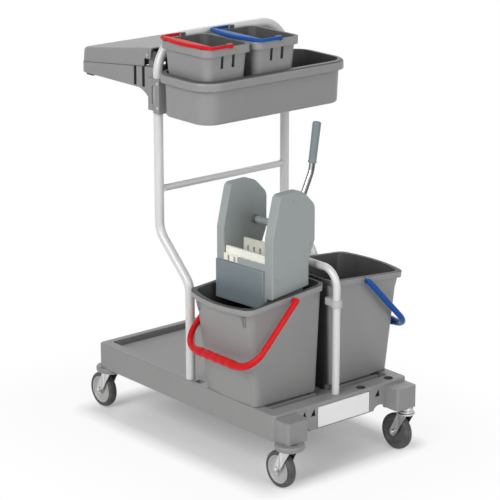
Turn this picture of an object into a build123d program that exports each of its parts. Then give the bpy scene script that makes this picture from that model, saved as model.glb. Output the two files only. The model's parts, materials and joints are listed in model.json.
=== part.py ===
from build123d import *
import os
from math import acos, cos, pi, radians, sin, sqrt, tan

# Cleaning trolley with two mop buckets, a lever press, a tool tray and a lidded bag holder.
# Millimetres. +Z up, +X towards the end that carries the blank plate, -Y towards the red bucket.
# The origin lies on the floor below the middle of the whole trolley.

# Castors
wheel_r = 50
wheel_width = 25
tread_depth = 12
trail = 34
stem_y = 206
front_stem_x = 416
rear_stem_x = -352
axle_r = 4
stem_r = 6
running_gap = 0.05

# Base platform
base_rear = -367
base_front = 387
base_half = 235
rail_bottom = 130
rail_top = 200
deck_z = 186
well_z = 180
groove_z = 178
base_wall = 6
pocket_top = 174
side_rail = 32
front_rail = 42
rear_rail = 22
block_front = 433
block_width = 70
block_side = 227
block_top = 190

# Tube frame
tube_r = 12.5
tube_bore = 11
leg_x = 27.5
upright_x = -100
frame_y = 219
socket_z = 140
handle_z = 1100
handle_bend = 90
kink_low = 462
kink_high = 582
kink_bend = 60
cross_z = 697
cross_r = 9

# Bucket arch
arch_r = 10
arch_front = 361
arch_rear = 57
arch_z = 536
arch_bend = 48
arch_foot = 150

# Mop buckets, measured for the +Y side
bucket_x = 209
bucket_floor = 4
bucket_wall = 3
bucket_flange = 9
bucket_skirt = 16
bucket_high = 510
rim_inner_y = 14
rim_inner_z = 496
rim_slope = 0.0853
pivot_y = 127
pivot_drop = 9

# Lever press, turned a little in its bucket as the photograph shows it
press_x = 209
press_y = -112
press_turn = 5
plate_in = 74
plate_thick = 6
cover_out = 102
cover_wall = 3
shaft_q = 36
shaft_z = 641
shaft_r = 7
gear_module = 2.5
gear_teeth = 16
gear_backlash = 0.35
gear_in = 83
gear_thick = 10
lever_p = 58
lever_r = 8

# Tool tray and its two pails
tray_bottom = 906
tray_top = 1022
tray_wall = 4
tray_rear = -74
tray_front = 122
tray_half = 238
tray_rim = 12
tray_rim_depth = 24
tray_corner = 50
pail_x = 29
pail_rim = 1105
pail_wall = 2.5
pail_flange = 7
red_pail_y = -162
blue_pail_y = 2

# Bag holder and lid
holder_rear = -456
holder_front = -113
holder_half = 224
holder_bottom = 960
holder_band = 26
seam_x = -130
seam_z = 1021
seam_slope = 0.1104
lid_front_z = 1073
lid_slope = 0.146
lid_wall = 3
lid_front = -118
hinge_x = -145
hinge_z = 1050
hinge_r = 4

low = (Align.CENTER, Align.CENTER, Align.MIN)
os.makedirs("parts", exist_ok=True)


def keep(builder, node):
    """Label a finished piece and write it under its node name."""
    builder.part.label = node
    export_step(builder.part, f"parts/{node}.step")


def cylinder_on(plane, radius, length, mode=Mode.ADD):
    """A cylinder that stands on a plane and runs along its normal."""
    with BuildSketch(plane) as disc:
        Circle(radius)
    extrude(disc.sketch, amount=length, mode=mode)


def block(x, y, z, mode=Mode.ADD):
    """A box given by its low and high value along each axis."""
    with Locations(((x[0] + x[1]) / 2, (y[0] + y[1]) / 2, (z[0] + z[1]) / 2)):
        Box(x[1] - x[0], y[1] - y[0], z[1] - z[0], mode=mode)


# Base platform: one moulding with rails, a bag deck, two bucket wells and ribs below
base_mid = (base_rear + base_front) / 2
base_length = base_front - base_rear
leg_feet = [(leg_x, frame_y), (leg_x, -frame_y)]
arch_feet = [(arch_front, 0), (arch_rear, 0)]
tool_sockets = [(372, 80), (366, 186)]
tool_socket_r = 9
rear_stems = [(rear_stem_x, stem_y), (rear_stem_x, -stem_y)]
front_stems = [(front_stem_x, stem_y), (front_stem_x, -stem_y)]
plate_y = 6
plate_length = 180
plate_height = 56

with BuildPart() as base_platform:
    with BuildSketch(Plane.XY.offset(rail_bottom)):
        with Locations((base_mid, 0)):
            RectangleRounded(base_length, 2 * base_half, 14)
    extrude(amount=rail_top - rail_bottom)
    fillet(base_platform.faces().sort_by(Axis.Z)[-1].edges(), 4)
    # corner blocks that carry the front castors
    block_length = block_front - 372
    with BuildSketch(Plane.XY.offset(rail_bottom)):
        with Locations(*[(block_front - block_length / 2, s * (block_side - block_width / 2)) for s in (1, -1)]):
            RectangleRounded(block_length, block_width, 8)
    extrude(amount=block_top - rail_bottom)
    # recessed deck, wells that locate the buckets, rain gutter and front groove
    deck_rear = base_rear + rear_rail
    deck_front = base_front - front_rail
    with BuildSketch(Plane.XY.offset(deck_z)):
        with Locations(((deck_rear + deck_front) / 2, 0)):
            RectangleRounded(deck_front - deck_rear, 2 * (base_half - side_rail), 10)
    extrude(amount=rail_top - deck_z, mode=Mode.SUBTRACT)
    with BuildSketch(Plane.XY.offset(well_z)):
        with Locations((bucket_x, 111), (bucket_x, -111)):
            RectangleRounded(192, 182, 24)
    extrude(amount=rail_top - well_z, mode=Mode.SUBTRACT)
    block((deck_rear, deck_rear + 10), (-192, 192), (groove_z, rail_top), Mode.SUBTRACT)
    block((320, 328), (-198, -30), (groove_z, rail_top), Mode.SUBTRACT)
    block((320, 328), (30, 198), (groove_z, rail_top), Mode.SUBTRACT)
    block((307, 317), (-194, -30), (deck_z, deck_z + 8))
    block((307, 317), (30, 194), (deck_z, deck_z + 8))
    for s in (1, -1):
        block((50, 76), tuple(sorted((s * 206, s * 226))), (groove_z, rail_top), Mode.SUBTRACT)
    with Locations((arch_rear, 0, pocket_top)):
        Cylinder(17, rail_top - pocket_top, align=low)
    # hollow underside that leaves socket bosses and ribs standing
    with BuildSketch(Plane.XY.offset(rail_bottom)):
        with Locations((base_mid, 0)):
            RectangleRounded(base_length - 2 * base_wall, 2 * (base_half - base_wall), 10)
        with Locations(*leg_feet):
            Circle(18, mode=Mode.SUBTRACT)
        with Locations(*arch_feet):
            Circle(15, mode=Mode.SUBTRACT)
        with Locations(*tool_sockets):
            Circle(13, mode=Mode.SUBTRACT)
        with Locations(*rear_stems):
            Circle(27, mode=Mode.SUBTRACT)
        with Locations((base_mid, 105), (base_mid, 0), (base_mid, -105)):
            Rectangle(base_length, 4, mode=Mode.SUBTRACT)
        with Locations((-250, 0), (-130, 0), (-10, 0), (110, 0), (230, 0)):
            Rectangle(4, 2 * base_half, mode=Mode.SUBTRACT)
    extrude(amount=pocket_top - rail_bottom, mode=Mode.SUBTRACT)
    # sockets for the tubes, the tool holders and the castor stems
    with Locations(*[(x, y, socket_z) for x, y in leg_feet]):
        Cylinder(tube_r, rail_top - socket_z, align=low, mode=Mode.SUBTRACT)
    with Locations(*[(x, y, arch_foot) for x, y in arch_feet]):
        Cylinder(arch_r, rail_top - arch_foot, align=low, mode=Mode.SUBTRACT)
    with Locations(*[(x, y, socket_z) for x, y in tool_sockets]):
        Cylinder(tool_socket_r, rail_top - socket_z, align=low, mode=Mode.SUBTRACT)
    with Locations(*[(x, y, rail_bottom) for x, y in rear_stems + front_stems]):
        Cylinder(stem_r, 36, align=low, mode=Mode.SUBTRACT)
    # front wall: plate recess, moulded pockets and the arches beside the castor blocks
    with BuildSketch(Plane.YZ.offset(base_front)):
        with Locations((plate_y, (rail_bottom + rail_top) / 2 - 4)):
            RectangleRounded(plate_length + 4, plate_height + 4, 3)
    extrude(amount=-2.5, mode=Mode.SUBTRACT)
    with BuildSketch(Plane.YZ.offset(base_front)):
        with Locations((-133, 178), (-101, 178), (126, 178)):
            Polygon((-8, -10), (9, -10), (4, 11), align=None)
    extrude(amount=-16, mode=Mode.SUBTRACT)
    with BuildSketch(Plane.YZ.offset(base_front)):
        with Locations((134, rail_bottom), (-134, rail_bottom)):
            Ellipse(20, 13)
    extrude(amount=-base_wall, mode=Mode.SUBTRACT)
keep(base_platform, "base_platform")

with BuildPart() as blank_plate:
    with BuildSketch(Plane.YZ.offset(base_front - 2.5)):
        with Locations((plate_y, (rail_bottom + rail_top) / 2 - 4)):
            RectangleRounded(plate_length, plate_height, 2)
    extrude(amount=3.5)
keep(blank_plate, "blank_plate")

# Tube frame: two kinked legs joined by the handle, a cross bar and the bucket arch
with BuildPart() as upright_frame:
    with BuildLine() as frame_path:
        FilletPolyline(
            (leg_x, -frame_y, socket_z),
            (leg_x, -frame_y, kink_low),
            (upright_x, -frame_y, kink_high),
            (upright_x, -frame_y, handle_z),
            (upright_x, frame_y, handle_z),
            (upright_x, frame_y, kink_high),
            (leg_x, frame_y, kink_low),
            (leg_x, frame_y, socket_z),
            radius=[kink_bend, kink_bend, handle_bend, handle_bend, kink_bend, kink_bend],
        )
    with BuildSketch(Plane.XY.offset(socket_z)):
        with Locations((leg_x, -frame_y)):
            Circle(tube_r)
            Circle(tube_bore, mode=Mode.SUBTRACT)
    sweep(path=frame_path.wire())
keep(upright_frame, "upright_frame")

with BuildPart() as cross_bar:
    cylinder_on(Plane((upright_x, -frame_y, cross_z), z_dir=(0, 1, 0)), cross_r, 2 * frame_y)
    with Locations((upright_x, frame_y, cross_z), (upright_x, -frame_y, cross_z)):
        Cylinder(tube_r, 60, mode=Mode.SUBTRACT)
keep(cross_bar, "cross_bar")

with BuildPart() as bucket_arch:
    with BuildLine() as arch_path:
        FilletPolyline(
            (arch_front, 0, arch_foot),
            (arch_front, 0, arch_z),
            (arch_rear, 0, arch_z),
            (arch_rear, 0, arch_foot),
            radius=arch_bend,
        )
    with BuildSketch(Plane.XY.offset(arch_foot)):
        with Locations((arch_front, 0)):
            Circle(arch_r)
            Circle(arch_r - 1.5, mode=Mode.SUBTRACT)
    sweep(path=arch_path.wire())
keep(bucket_arch, "bucket_arch")

clip_z = 438
clip_height = 18
with BuildPart() as arch_clip:
    with BuildSketch(Plane.XY.offset(clip_z)):
        with Locations((arch_front, 0)):
            Circle(arch_r + 5)
        with Locations((arch_front - 24, 0)):
            RectangleRounded(32, 14, 4)
        with Locations((arch_front, 0)):
            Circle(arch_r, mode=Mode.SUBTRACT)
    extrude(amount=clip_height)
keep(arch_clip, "arch_clip")


# Castors: fixed head, swivelling fork, axle bolt, hub and tyre
def castor(corner, x, y):
    axle_x = x - trail
    axle_line = Plane((axle_x, y, wheel_r), x_dir=(1, 0, 0), z_dir=(0, -1, 0))
    with BuildPart() as head:
        with BuildSketch(Plane.XZ):
            with BuildLine():
                Polyline(
                    (0, 103.4), (9, 103.4), (9, 109.3), (stem_r, 109.3), (stem_r, 113.9), (21, 113.9),
                    (21, 120), (15, 120), (15, rail_bottom), (stem_r, rail_bottom), (stem_r, rail_bottom + 36),
                    (0, rail_bottom + 36), close=True,
                )
            make_face()
        revolve(axis=Axis.Z)
    head.part.locate(Location((x, y, 0)))
    keep(head, f"{corner}_castor_head")

    with BuildPart() as fork:
        with Locations((x, y, 109.6)):
            Cylinder(24, 4, align=low)
        for near in (14.5, -17):
            with BuildSketch(Plane((x, y + near, 0), x_dir=(1, 0, 0), z_dir=(0, 1, 0))):
                with Locations((0, -111.6)):
                    Rectangle(33, 4)
                with Locations((-trail, -wheel_r)):
                    Circle(11)
                make_hull()
            extrude(amount=2.5)
        with Locations((x, y, 100)):
            Cylinder(stem_r + running_gap, 40, align=low, mode=Mode.SUBTRACT)
        cylinder_on(axle_line.offset(-30), axle_r, 60, Mode.SUBTRACT)
    keep(fork, f"{corner}_fork")

    with BuildPart() as axle:
        cylinder_on(axle_line.offset(-23), axle_r, 46)
        for start in (17, -22):
            with BuildSketch(axle_line.offset(start)):
                RegularPolygon(7, 6)
            extrude(amount=5)
    keep(axle, f"{corner}_axle")

    rim_r = wheel_r - tread_depth
    with BuildPart() as hub:
        cylinder_on(axle_line.offset(-11), rim_r, 22)
        for start, step in ((11, -7), (-11, 7)):
            with BuildSketch(axle_line.offset(start)):
                Circle(rim_r - 5)
                Circle(12, mode=Mode.SUBTRACT)
            extrude(amount=step, mode=Mode.SUBTRACT)
        cylinder_on(axle_line.offset(-13), 10, 26)
        cylinder_on(axle_line.offset(-20), axle_r + running_gap, 40, Mode.SUBTRACT)
    keep(hub, f"{corner}_hub")

    with BuildPart() as tyre:
        with BuildSketch(axle_line.offset(-wheel_width / 2)):
            Circle(wheel_r)
            Circle(rim_r, mode=Mode.SUBTRACT)
        extrude(amount=wheel_width)
        fillet(tyre.edges().filter_by(GeomType.CIRCLE).group_by(SortBy.RADIUS)[-1], 6)
    keep(tyre, f"{corner}_tyre")


for end, stem_x in (("front", front_stem_x), ("rear", rear_stem_x)):
    for side_name, side in (("left", -1), ("right", 1)):
        castor(f"{end}_{side_name}", stem_x, side * stem_y)

for end, stem_x in (("front", front_stem_x), ("rear", rear_stem_x)):
    with BuildPart() as bumper:
        with BuildSketch(Plane.XY.offset(115)):
            with Locations((stem_x, -stem_y)):
                Circle(40)
                Circle(21.5, mode=Mode.SUBTRACT)
        extrude(amount=rail_bottom - 115)
        fillet(bumper.edges().filter_by(GeomType.CIRCLE).group_by(SortBy.RADIUS)[-1], 5)
    keep(bumper, f"{end}_left_bumper")


# Mop buckets: lofted tubs with a bowed pouring side, a sloping rim and a swinging bail
def tub_outline(z, half, y_in, y_out, bow, corner, side):
    with BuildSketch(Plane.XY.offset(z)) as outline:
        with BuildLine():
            Polyline(
                (bucket_x - half, side * y_out),
                (bucket_x - half, side * y_in),
                (bucket_x + half, side * y_in),
                (bucket_x + half, side * y_out),
            )
            ThreePointArc(
                (bucket_x + half, side * y_out),
                (bucket_x, side * (y_out + bow)),
                (bucket_x - half, side * y_out),
            )
        make_face()
        fillet(outline.vertices(), corner)
    return outline.sketch


def tub(side, grow, floor, mode=Mode.ADD):
    bottom = tub_outline(well_z + floor, 90 + grow, 24 - grow, 190 + grow, 4, 22 + grow, side)
    top = tub_outline(bucket_high, 103 + grow, 23 - grow, 271 + grow, 24, 26 + grow, side)
    loft([bottom, top], ruled=True, mode=mode)


def rim_plane(side, drop=0):
    return Plane(
        (bucket_x, side * rim_inner_y, rim_inner_z), x_dir=(1, 0, 0), z_dir=(0, side * rim_slope, 1)
    ).offset(-drop)


pivot_z = rim_inner_z - rim_slope * (pivot_y - rim_inner_y) - pivot_drop


def mop_bucket(colour, side):
    with BuildPart() as bucket:
        tub(side, bucket_flange, 0)
        split(bisect_by=rim_plane(side, bucket_skirt), keep=Keep.TOP)
        tub(side, 0, 0)
        split(bisect_by=rim_plane(side), keep=Keep.BOTTOM)
        tub(side, -bucket_wall, bucket_floor, Mode.SUBTRACT)
        for end in (1, -1):
            boss = Plane((bucket_x + end * 104, side * pivot_y, pivot_z), z_dir=(end, 0, 0))
            cylinder_on(boss, 11, 10)
            cylinder_on(boss.offset(1), 4 + running_gap, 20, Mode.SUBTRACT)
    keep(bucket, f"{colour}_bucket")


bail_half = 122
bail_length = 205
bail_drop = radians(46)
bail_r = 7
grip_bumps = 6
grip_pitch = 25


def bucket_bail(colour, side):
    along = (0, side * cos(bail_drop), -sin(bail_drop))
    swing = Plane(
        (bucket_x, side * pivot_y, pivot_z), x_dir=(1, 0, 0), z_dir=(0, -along[2], along[1])
    )
    with BuildPart() as bail:
        with BuildLine(swing) as loop:
            FilletPolyline(
                (-bail_half, 0), (-bail_half, bail_length), (bail_half, bail_length), (bail_half, 0), radius=45
            )
        with BuildSketch(Plane(loop.line @ 0, z_dir=loop.line % 0)):
            Circle(bail_r)
        sweep(path=loop.wire())
        for end in (1, -1):
            eye = Plane((bucket_x + end * 115.5, side * pivot_y, pivot_z), z_dir=(end, 0, 0))
            cylinder_on(eye, 10, 13)
            cylinder_on(eye.offset(-9.5), 4, 12)
        with BuildSketch(swing):
            with BuildLine():
                start = -grip_bumps * grip_pitch / 2
                for bump in range(grip_bumps):
                    u = start + bump * grip_pitch
                    ThreePointArc(
                        (u, bail_length + 9.5),
                        (u + grip_pitch / 2, bail_length + 12.5),
                        (u + grip_pitch, bail_length + 9.5),
                    )
                Polyline(
                    (-start, bail_length + 9.5), (-start, bail_length), (start, bail_length),
                    (start, bail_length + 9.5),
                )
            make_face()
        grip_axis = Axis(swing.from_local_coords((0, bail_length, 0)), swing.x_dir)
        revolve(axis=grip_axis)
    keep(bail, f"{colour}_bail")


for colour, side in (("red", -1), ("blue", 1)):
    mop_bucket(colour, side)
    bucket_bail(colour, side)

# Lever press: p runs along its shaft, q towards the middle of the trolley
press = Plane(
    (press_x, press_y, 0), x_dir=(cos(radians(press_turn)), sin(radians(press_turn)), 0), z_dir=(0, 0, 1)
)
cover_in = plate_in + plate_thick


def press_side(p):
    """The plane across the shaft at p, with q to its right and height up."""
    return Plane(press.from_local_coords((p, 0, 0)), x_dir=press.y_dir, z_dir=press.x_dir)


def press_block(p, q, z, mode=Mode.ADD):
    with BuildSketch(press.offset(z[0])) as plan:
        with Locations(((p[0] + p[1]) / 2, (q[0] + q[1]) / 2)):
            Rectangle(p[1] - p[0], q[1] - q[0])
    extrude(plan.sketch, amount=z[1] - z[0], mode=mode)


def ear_outline(plane, foot, inset=0):
    with BuildSketch(plane) as ear:
        with BuildLine():
            FilletPolyline(
                (-78, foot), (-78, 640), (-50, 752), (30, 752), (78, 706), (78, 612), (56, 562), (56, foot),
                radius=[0, 30, 16, 40, 30, 14, 14, 0], close=True,
            )
        make_face()
        if inset:
            offset(amount=-inset, mode=Mode.REPLACE)
    return ear.sketch


chamber_foot = 448
with BuildPart() as press_body:
    for p in (plate_in, -cover_in):
        extrude(ear_outline(press_side(p), chamber_foot), amount=plate_thick)
    press_block((-plate_in, plate_in), (-78, -73), (chamber_foot, 570))
    press_block((-plate_in, plate_in), (51, 56), (chamber_foot, 548))
    press_block((-plate_in, plate_in), (-73, 51), (chamber_foot, chamber_foot + 4))
    # dip in the rear wall, drain slots in the floor
    with BuildSketch(Plane(press.from_local_coords((0, 40, 548)), x_dir=press.x_dir, z_dir=press.y_dir)):
        Ellipse(56, 34)
    extrude(amount=30, mode=Mode.SUBTRACT)
    with BuildSketch(press.offset(chamber_foot - 1)):
        with GridLocations(24, 40, 5, 3):
            SlotOverall(32, 8, rotation=90)
    extrude(amount=8, mode=Mode.SUBTRACT)
    # openings for the shaft and for the lugs of the moving jaw
    with BuildSketch(press_side(-cover_in - 1)):
        with Locations((shaft_q, shaft_z)):
            Circle(shaft_r + running_gap)
        with Locations(((5 - 43) / 2, 524)):
            Rectangle(48, 29)
    extrude(amount=2 * cover_in + 2, mode=Mode.SUBTRACT)
keep(press_body, "press_body")

screw_points = [(-64, 530), (0, 728), (62, 604)]
screw_r = 2


def ear_cover(name, end):
    inside = press_side(end * cover_in)
    step = end * (cover_out - cover_in)
    with BuildPart() as cover:
        extrude(ear_outline(inside, 470), amount=step)
        split(bisect_by=rim_plane(-1), keep=Keep.TOP)
        chamfer(cover.faces().sort_by(Axis(press.origin, press.x_dir * end))[-1].edges(), 2)
        extrude(ear_outline(inside, 500, cover_wall), amount=step - end * cover_wall, mode=Mode.SUBTRACT)
        with BuildSketch(inside):
            with Locations(*screw_points):
                Circle(5)
        extrude(amount=step - end * cover_wall)
        with BuildSketch(inside):
            with Locations(*screw_points):
                Circle(screw_r)
        extrude(amount=step, mode=Mode.SUBTRACT)
    keep(cover, f"{name}_ear_cover")


ear_cover("left", -1)
ear_cover("right", 1)

with BuildPart() as cover_screws:
    for end in (1, -1):
        with BuildSketch(press_side(end * (cover_in + 2))):
            with Locations(*screw_points):
                Circle(screw_r)
        extrude(amount=end * (cover_out - cover_in - 2))
        with BuildSketch(press_side(end * cover_out)):
            with Locations(*screw_points):
                Circle(4.5)
        extrude(amount=end * 2)
keep(cover_screws, "cover_screws")

# Pinions on the shaft drive racks that draw the rear jaw forward
pitch_r = gear_module * gear_teeth / 2
pressure_angle = radians(20)
base_r = pitch_r * cos(pressure_angle)
tip_r = pitch_r + gear_module
root_r = pitch_r - 1.25 * gear_module
tooth_width = pi * gear_module / 2 - gear_backlash


def flank_angle(radius):
    """Half the angle that a tooth fills at this radius, along its involute."""
    roll = acos(base_r / radius)
    return tooth_width / (2 * pitch_r) + tan(pressure_angle) - pressure_angle - (tan(roll) - roll)


flank_radii = [base_r + (tip_r - base_r) * step / 3 for step in range(4)]
flank = [(r * sin(flank_angle(r)), r * cos(flank_angle(r))) for r in flank_radii]
root_point = (root_r * sin(flank_angle(base_r)), root_r * cos(flank_angle(base_r)) - 1)
right_side = [root_point] + flank
left_side = [(-x, y) for x, y in reversed(right_side)]

with BuildSketch() as pinion_face:
    Circle(root_r)
    with BuildSketch(mode=Mode.PRIVATE) as tooth:
        with BuildLine():
            Polyline(*right_side, *left_side, close=True)
        make_face()
    with PolarLocations(0, gear_teeth):
        add(tooth.sketch)
    Circle(shaft_r, mode=Mode.SUBTRACT)

rack_pitch = pi * gear_module
rack_line = shaft_z + pitch_r
rack_front = -16
rack_back = 73
rack_top = rack_line + 15


def rack_tooth(q):
    tip = tooth_width / 2 - gear_module * tan(pressure_angle)
    root = tooth_width / 2 + 1.25 * gear_module * tan(pressure_angle)
    Polygon(
        (q - root, rack_line + 1.25 * gear_module), (q - tip, rack_line - gear_module),
        (q + tip, rack_line - gear_module), (q + root, rack_line + 1.25 * gear_module), align=None,
    )


for name, end in (("left", -1), ("right", 1)):
    inner = gear_in if end > 0 else -gear_in - gear_thick
    with BuildPart() as pinion:
        with BuildSketch(press_side(inner)):
            with Locations((shaft_q, shaft_z)):
                add(pinion_face.sketch, rotation=0)
        extrude(amount=gear_thick)
    keep(pinion, f"{name}_pinion")

    with BuildPart() as rack:
        with BuildSketch(press_side(inner)):
            with Locations(((rack_front + rack_back) / 2, (rack_line + 1.25 * gear_module + rack_top) / 2)):
                Rectangle(rack_back - rack_front, rack_top - rack_line - 1.25 * gear_module)
            with Locations((rack_front + 11, (506 + rack_top) / 2)):
                Rectangle(22, rack_top - 506)
            for index in range(-3, 4):
                rack_tooth(shaft_q + (index + 0.5) * rack_pitch)
        extrude(amount=gear_thick)
        lug = sorted((end * 72, end * gear_in))
        press_block(lug, (-14, 4), (510, 538))
    keep(rack, f"{name}_rack")

with BuildPart() as press_shaft:
    cylinder_on(press_side(-97).shift_origin(press_side(-97).from_local_coords((shaft_q, shaft_z, 0))), shaft_r, 194)
keep(press_shaft, "press_shaft")

with BuildPart() as shaft_collars:
    for p in (-73.6, 67):
        with BuildSketch(press_side(p)):
            with Locations((shaft_q, shaft_z)):
                Circle(11)
                Circle(shaft_r, mode=Mode.SUBTRACT)
        extrude(amount=6.6)
keep(shaft_collars, "shaft_collars")

jaw_half = 72
with BuildPart() as rear_jaw:
    press_block((-jaw_half, jaw_half), (-9, -1), (468, 600))
    with BuildSketch(Plane(press.from_local_coords((0, -12, 556)), x_dir=press.x_dir, z_dir=press.y_dir)):
        with GridLocations(22, 30, 6, 2):
            SlotOverall(22, 7, rotation=90)
    extrude(amount=20, mode=Mode.SUBTRACT)
keep(rear_jaw, "rear_jaw")

with BuildPart() as front_jaw:
    press_block((-jaw_half, jaw_half), (-73, -66), (chamber_foot + 4, 592))
    press_block((-jaw_half, -24), (-81, -66), (570, 574))
    press_block((-jaw_half, -24), (-81, -78), (556, 574))
    with BuildSketch(Plane(press.from_local_coords((0, -90, 545)), x_dir=press.x_dir, z_dir=press.y_dir)):
        with GridLocations(22, 30, 6, 2):
            SlotOverall(22, 7, rotation=90)
    extrude(amount=40, mode=Mode.SUBTRACT)
keep(front_jaw, "front_jaw")

lever_side = press_side(lever_p)
lever_root = (40.5, 649.5)
lever_bend = (108, 780)
lever_tip = (128, 905)
with BuildPart() as lever_tube:
    with BuildLine(lever_side) as lever_path:
        FilletPolyline(lever_root, lever_bend, lever_tip, radius=70)
    with BuildSketch(Plane(lever_path.line @ 0, z_dir=lever_path.line % 0)):
        Circle(lever_r)
    sweep(path=lever_path.wire())
    with BuildSketch(lever_side.offset(-9)):
        with Locations((shaft_q, shaft_z)):
            Circle(15)
    extrude(amount=18)
    with BuildSketch(lever_side.offset(-20)):
        with Locations((shaft_q, shaft_z)):
            Circle(shaft_r)
    extrude(amount=40, mode=Mode.SUBTRACT)
keep(lever_tube, "lever_tube")

grip_length = 104
with BuildPart() as lever_grip:
    tip_plane = Plane(lever_path.line @ 1, z_dir=lever_path.line % 1)
    cylinder_on(tip_plane.offset(-grip_length), 11.5, grip_length + 4)
    fillet(lever_grip.faces().sort_by(Axis.Z)[-1].edges(), 5)
    cylinder_on(tip_plane.offset(-grip_length), lever_r, grip_length, Mode.SUBTRACT)
keep(lever_grip, "lever_grip")


# Tool tray: deep tray with a rolled rim, clamped to the uprights
def tray_outline(z, rear, front, half, corner):
    with BuildSketch(Plane.XY.offset(z)) as outline:
        with Locations(((rear + front) / 2, 0)):
            RectangleRounded(front - rear, 2 * half, corner)
    return outline.sketch


with BuildPart() as upper_tray:
    outer_low = tray_outline(tray_bottom, tray_rear, tray_front, tray_half, tray_corner)
    outer_high = tray_outline(tray_top, tray_rear, tray_front + 4, tray_half + 4, tray_corner + 2)
    loft([outer_low, outer_high], ruled=True)
    fillet(upper_tray.faces().sort_by(Axis.Z)[0].edges(), 6)
    rim_low = tray_outline(
        tray_top - tray_rim_depth, tray_rear - tray_rim, tray_front + 4 + tray_rim, tray_half + 4 + tray_rim,
        tray_corner + 2 + tray_rim,
    )
    extrude(rim_low, amount=tray_rim_depth)
    fillet(upper_tray.faces().sort_by(Axis.Z)[-1].edges(), 9)
    inner_low = tray_outline(
        tray_bottom + tray_wall, tray_rear + tray_wall, tray_front - 4, tray_half - 4, tray_corner - 4
    )
    inner_high = tray_outline(tray_top + 1, tray_rear + tray_wall, tray_front, tray_half, tray_corner - 2)
    loft([inner_low, inner_high], ruled=True, mode=Mode.SUBTRACT)
keep(upper_tray, "upper_tray")

clamp_low = 905
clamp_high = 996
clamp_in = 202
clamp_out = 236
screw_z = [920, 985]
for name, side in (("left", -1), ("right", 1)):
    with BuildPart() as clamp:
        band = sorted((side * clamp_in, side * clamp_out))
        block((upright_x + 0.5, tray_rear), band, (clamp_low, clamp_high))
        with Locations((upright_x, side * frame_y, clamp_low - 5)):
            Cylinder(tube_r, clamp_high - clamp_low + 10, align=low, mode=Mode.SUBTRACT)
        slit = sorted((side * 225, side * 240))
        block((upright_x - 6, upright_x + 6), slit, (930, 976), Mode.SUBTRACT)
        with Locations(*[(upright_x + 18, side * clamp_out, z) for z in screw_z]):
            with Locations(Location((0, 0, 0), (90, 0, 0))):
                Cylinder(2.5, 20, mode=Mode.SUBTRACT)
    keep(clamp, f"{name}_tray_clamp")

with BuildPart() as clamp_screws:
    for side in (-1, 1):
        for z in screw_z:
            face = Plane((upright_x + 18, side * clamp_out, z), z_dir=(0, side, 0))
            cylinder_on(face.offset(-10), 2.5, 10)
            cylinder_on(face, 4.5, 2)
keep(clamp_screws, "clamp_screws")


# Two small pails in the tray, each with a flat bail folded on its rim
def pail_outline(z, x_size, y_size, corner, y):
    with BuildSketch(Plane.XY.offset(z)) as outline:
        with Locations((pail_x, y)):
            RectangleRounded(x_size, y_size, corner)
    return outline.sketch


pail_floor_z = tray_bottom + tray_wall
pail_bail_z = pail_rim + 3.5


def pail(colour, y):
    with BuildPart() as small_pail:
        extrude(pail_outline(pail_rim - 20, 198, 156, 26, y), amount=20)
        outer_foot = pail_outline(pail_floor_z, 152, 118, 18, y)
        outer_rim = pail_outline(pail_rim, 184, 142, 22, y)
        loft([outer_foot, outer_rim], ruled=True)
        inner_foot = pail_outline(pail_floor_z + pail_wall, 147, 113, 16, y)
        inner_rim = pail_outline(pail_rim + 0.5, 179, 137, 20, y)
        loft([inner_foot, inner_rim], ruled=True, mode=Mode.SUBTRACT)
        for end in (1, -1):
            block(
                sorted((pail_x + end * 92.5, pail_x + end * 99)), (y - 8, y + 8), (pail_rim - 6, pail_bail_z + 6)
            )
        cylinder_on(Plane((pail_x - 120, y, pail_bail_z), z_dir=(1, 0, 0)), 3 + running_gap, 240, Mode.SUBTRACT)
        for slot_y in (y - 18, y + 18):
            block((pail_x - 110, pail_x + 110), (slot_y - 4.5, slot_y + 4.5), (1050, 1083), Mode.SUBTRACT)
    keep(small_pail, f"small_{colour}_pail")

    with BuildPart() as small_bail:
        with BuildSketch(Plane.XY.offset(pail_rim + 1)):
            with BuildLine():
                ThreePointArc((pail_x - 106, y - 66), (pail_x, y - 85), (pail_x + 106, y - 66))
                Line((pail_x + 106, y - 66), (pail_x + 106, y - 58))
                ThreePointArc((pail_x + 106, y - 58), (pail_x, y - 54), (pail_x - 106, y - 58))
                Line((pail_x - 106, y - 58), (pail_x - 106, y - 66))
            make_face()
            with Locations((pail_x + 103, y - 30), (pail_x - 103, y - 30)):
                Rectangle(6, 64)
        extrude(amount=5)
        for end in (1, -1):
            eye = Plane((pail_x + end * 100, y, pail_bail_z), z_dir=(end, 0, 0))
            cylinder_on(eye, 6, 6)
            cylinder_on(eye.offset(-7), 3, 9)
    keep(small_bail, f"small_{colour}_bail")


pail("red", red_pail_y)
pail("blue", blue_pail_y)

# Bag holder ring with gussets, and the sloping lid hinged beside the uprights
seam_plane = Plane((seam_x, 0, seam_z), x_dir=(1, 0, seam_slope), z_dir=(-seam_slope, 0, 1))
lid_plane = Plane((holder_front, 0, lid_front_z), x_dir=(1, 0, lid_slope), z_dir=(-lid_slope, 0, 1))
holder_mid = (holder_rear + holder_front) / 2
holder_length = holder_front - holder_rear

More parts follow.
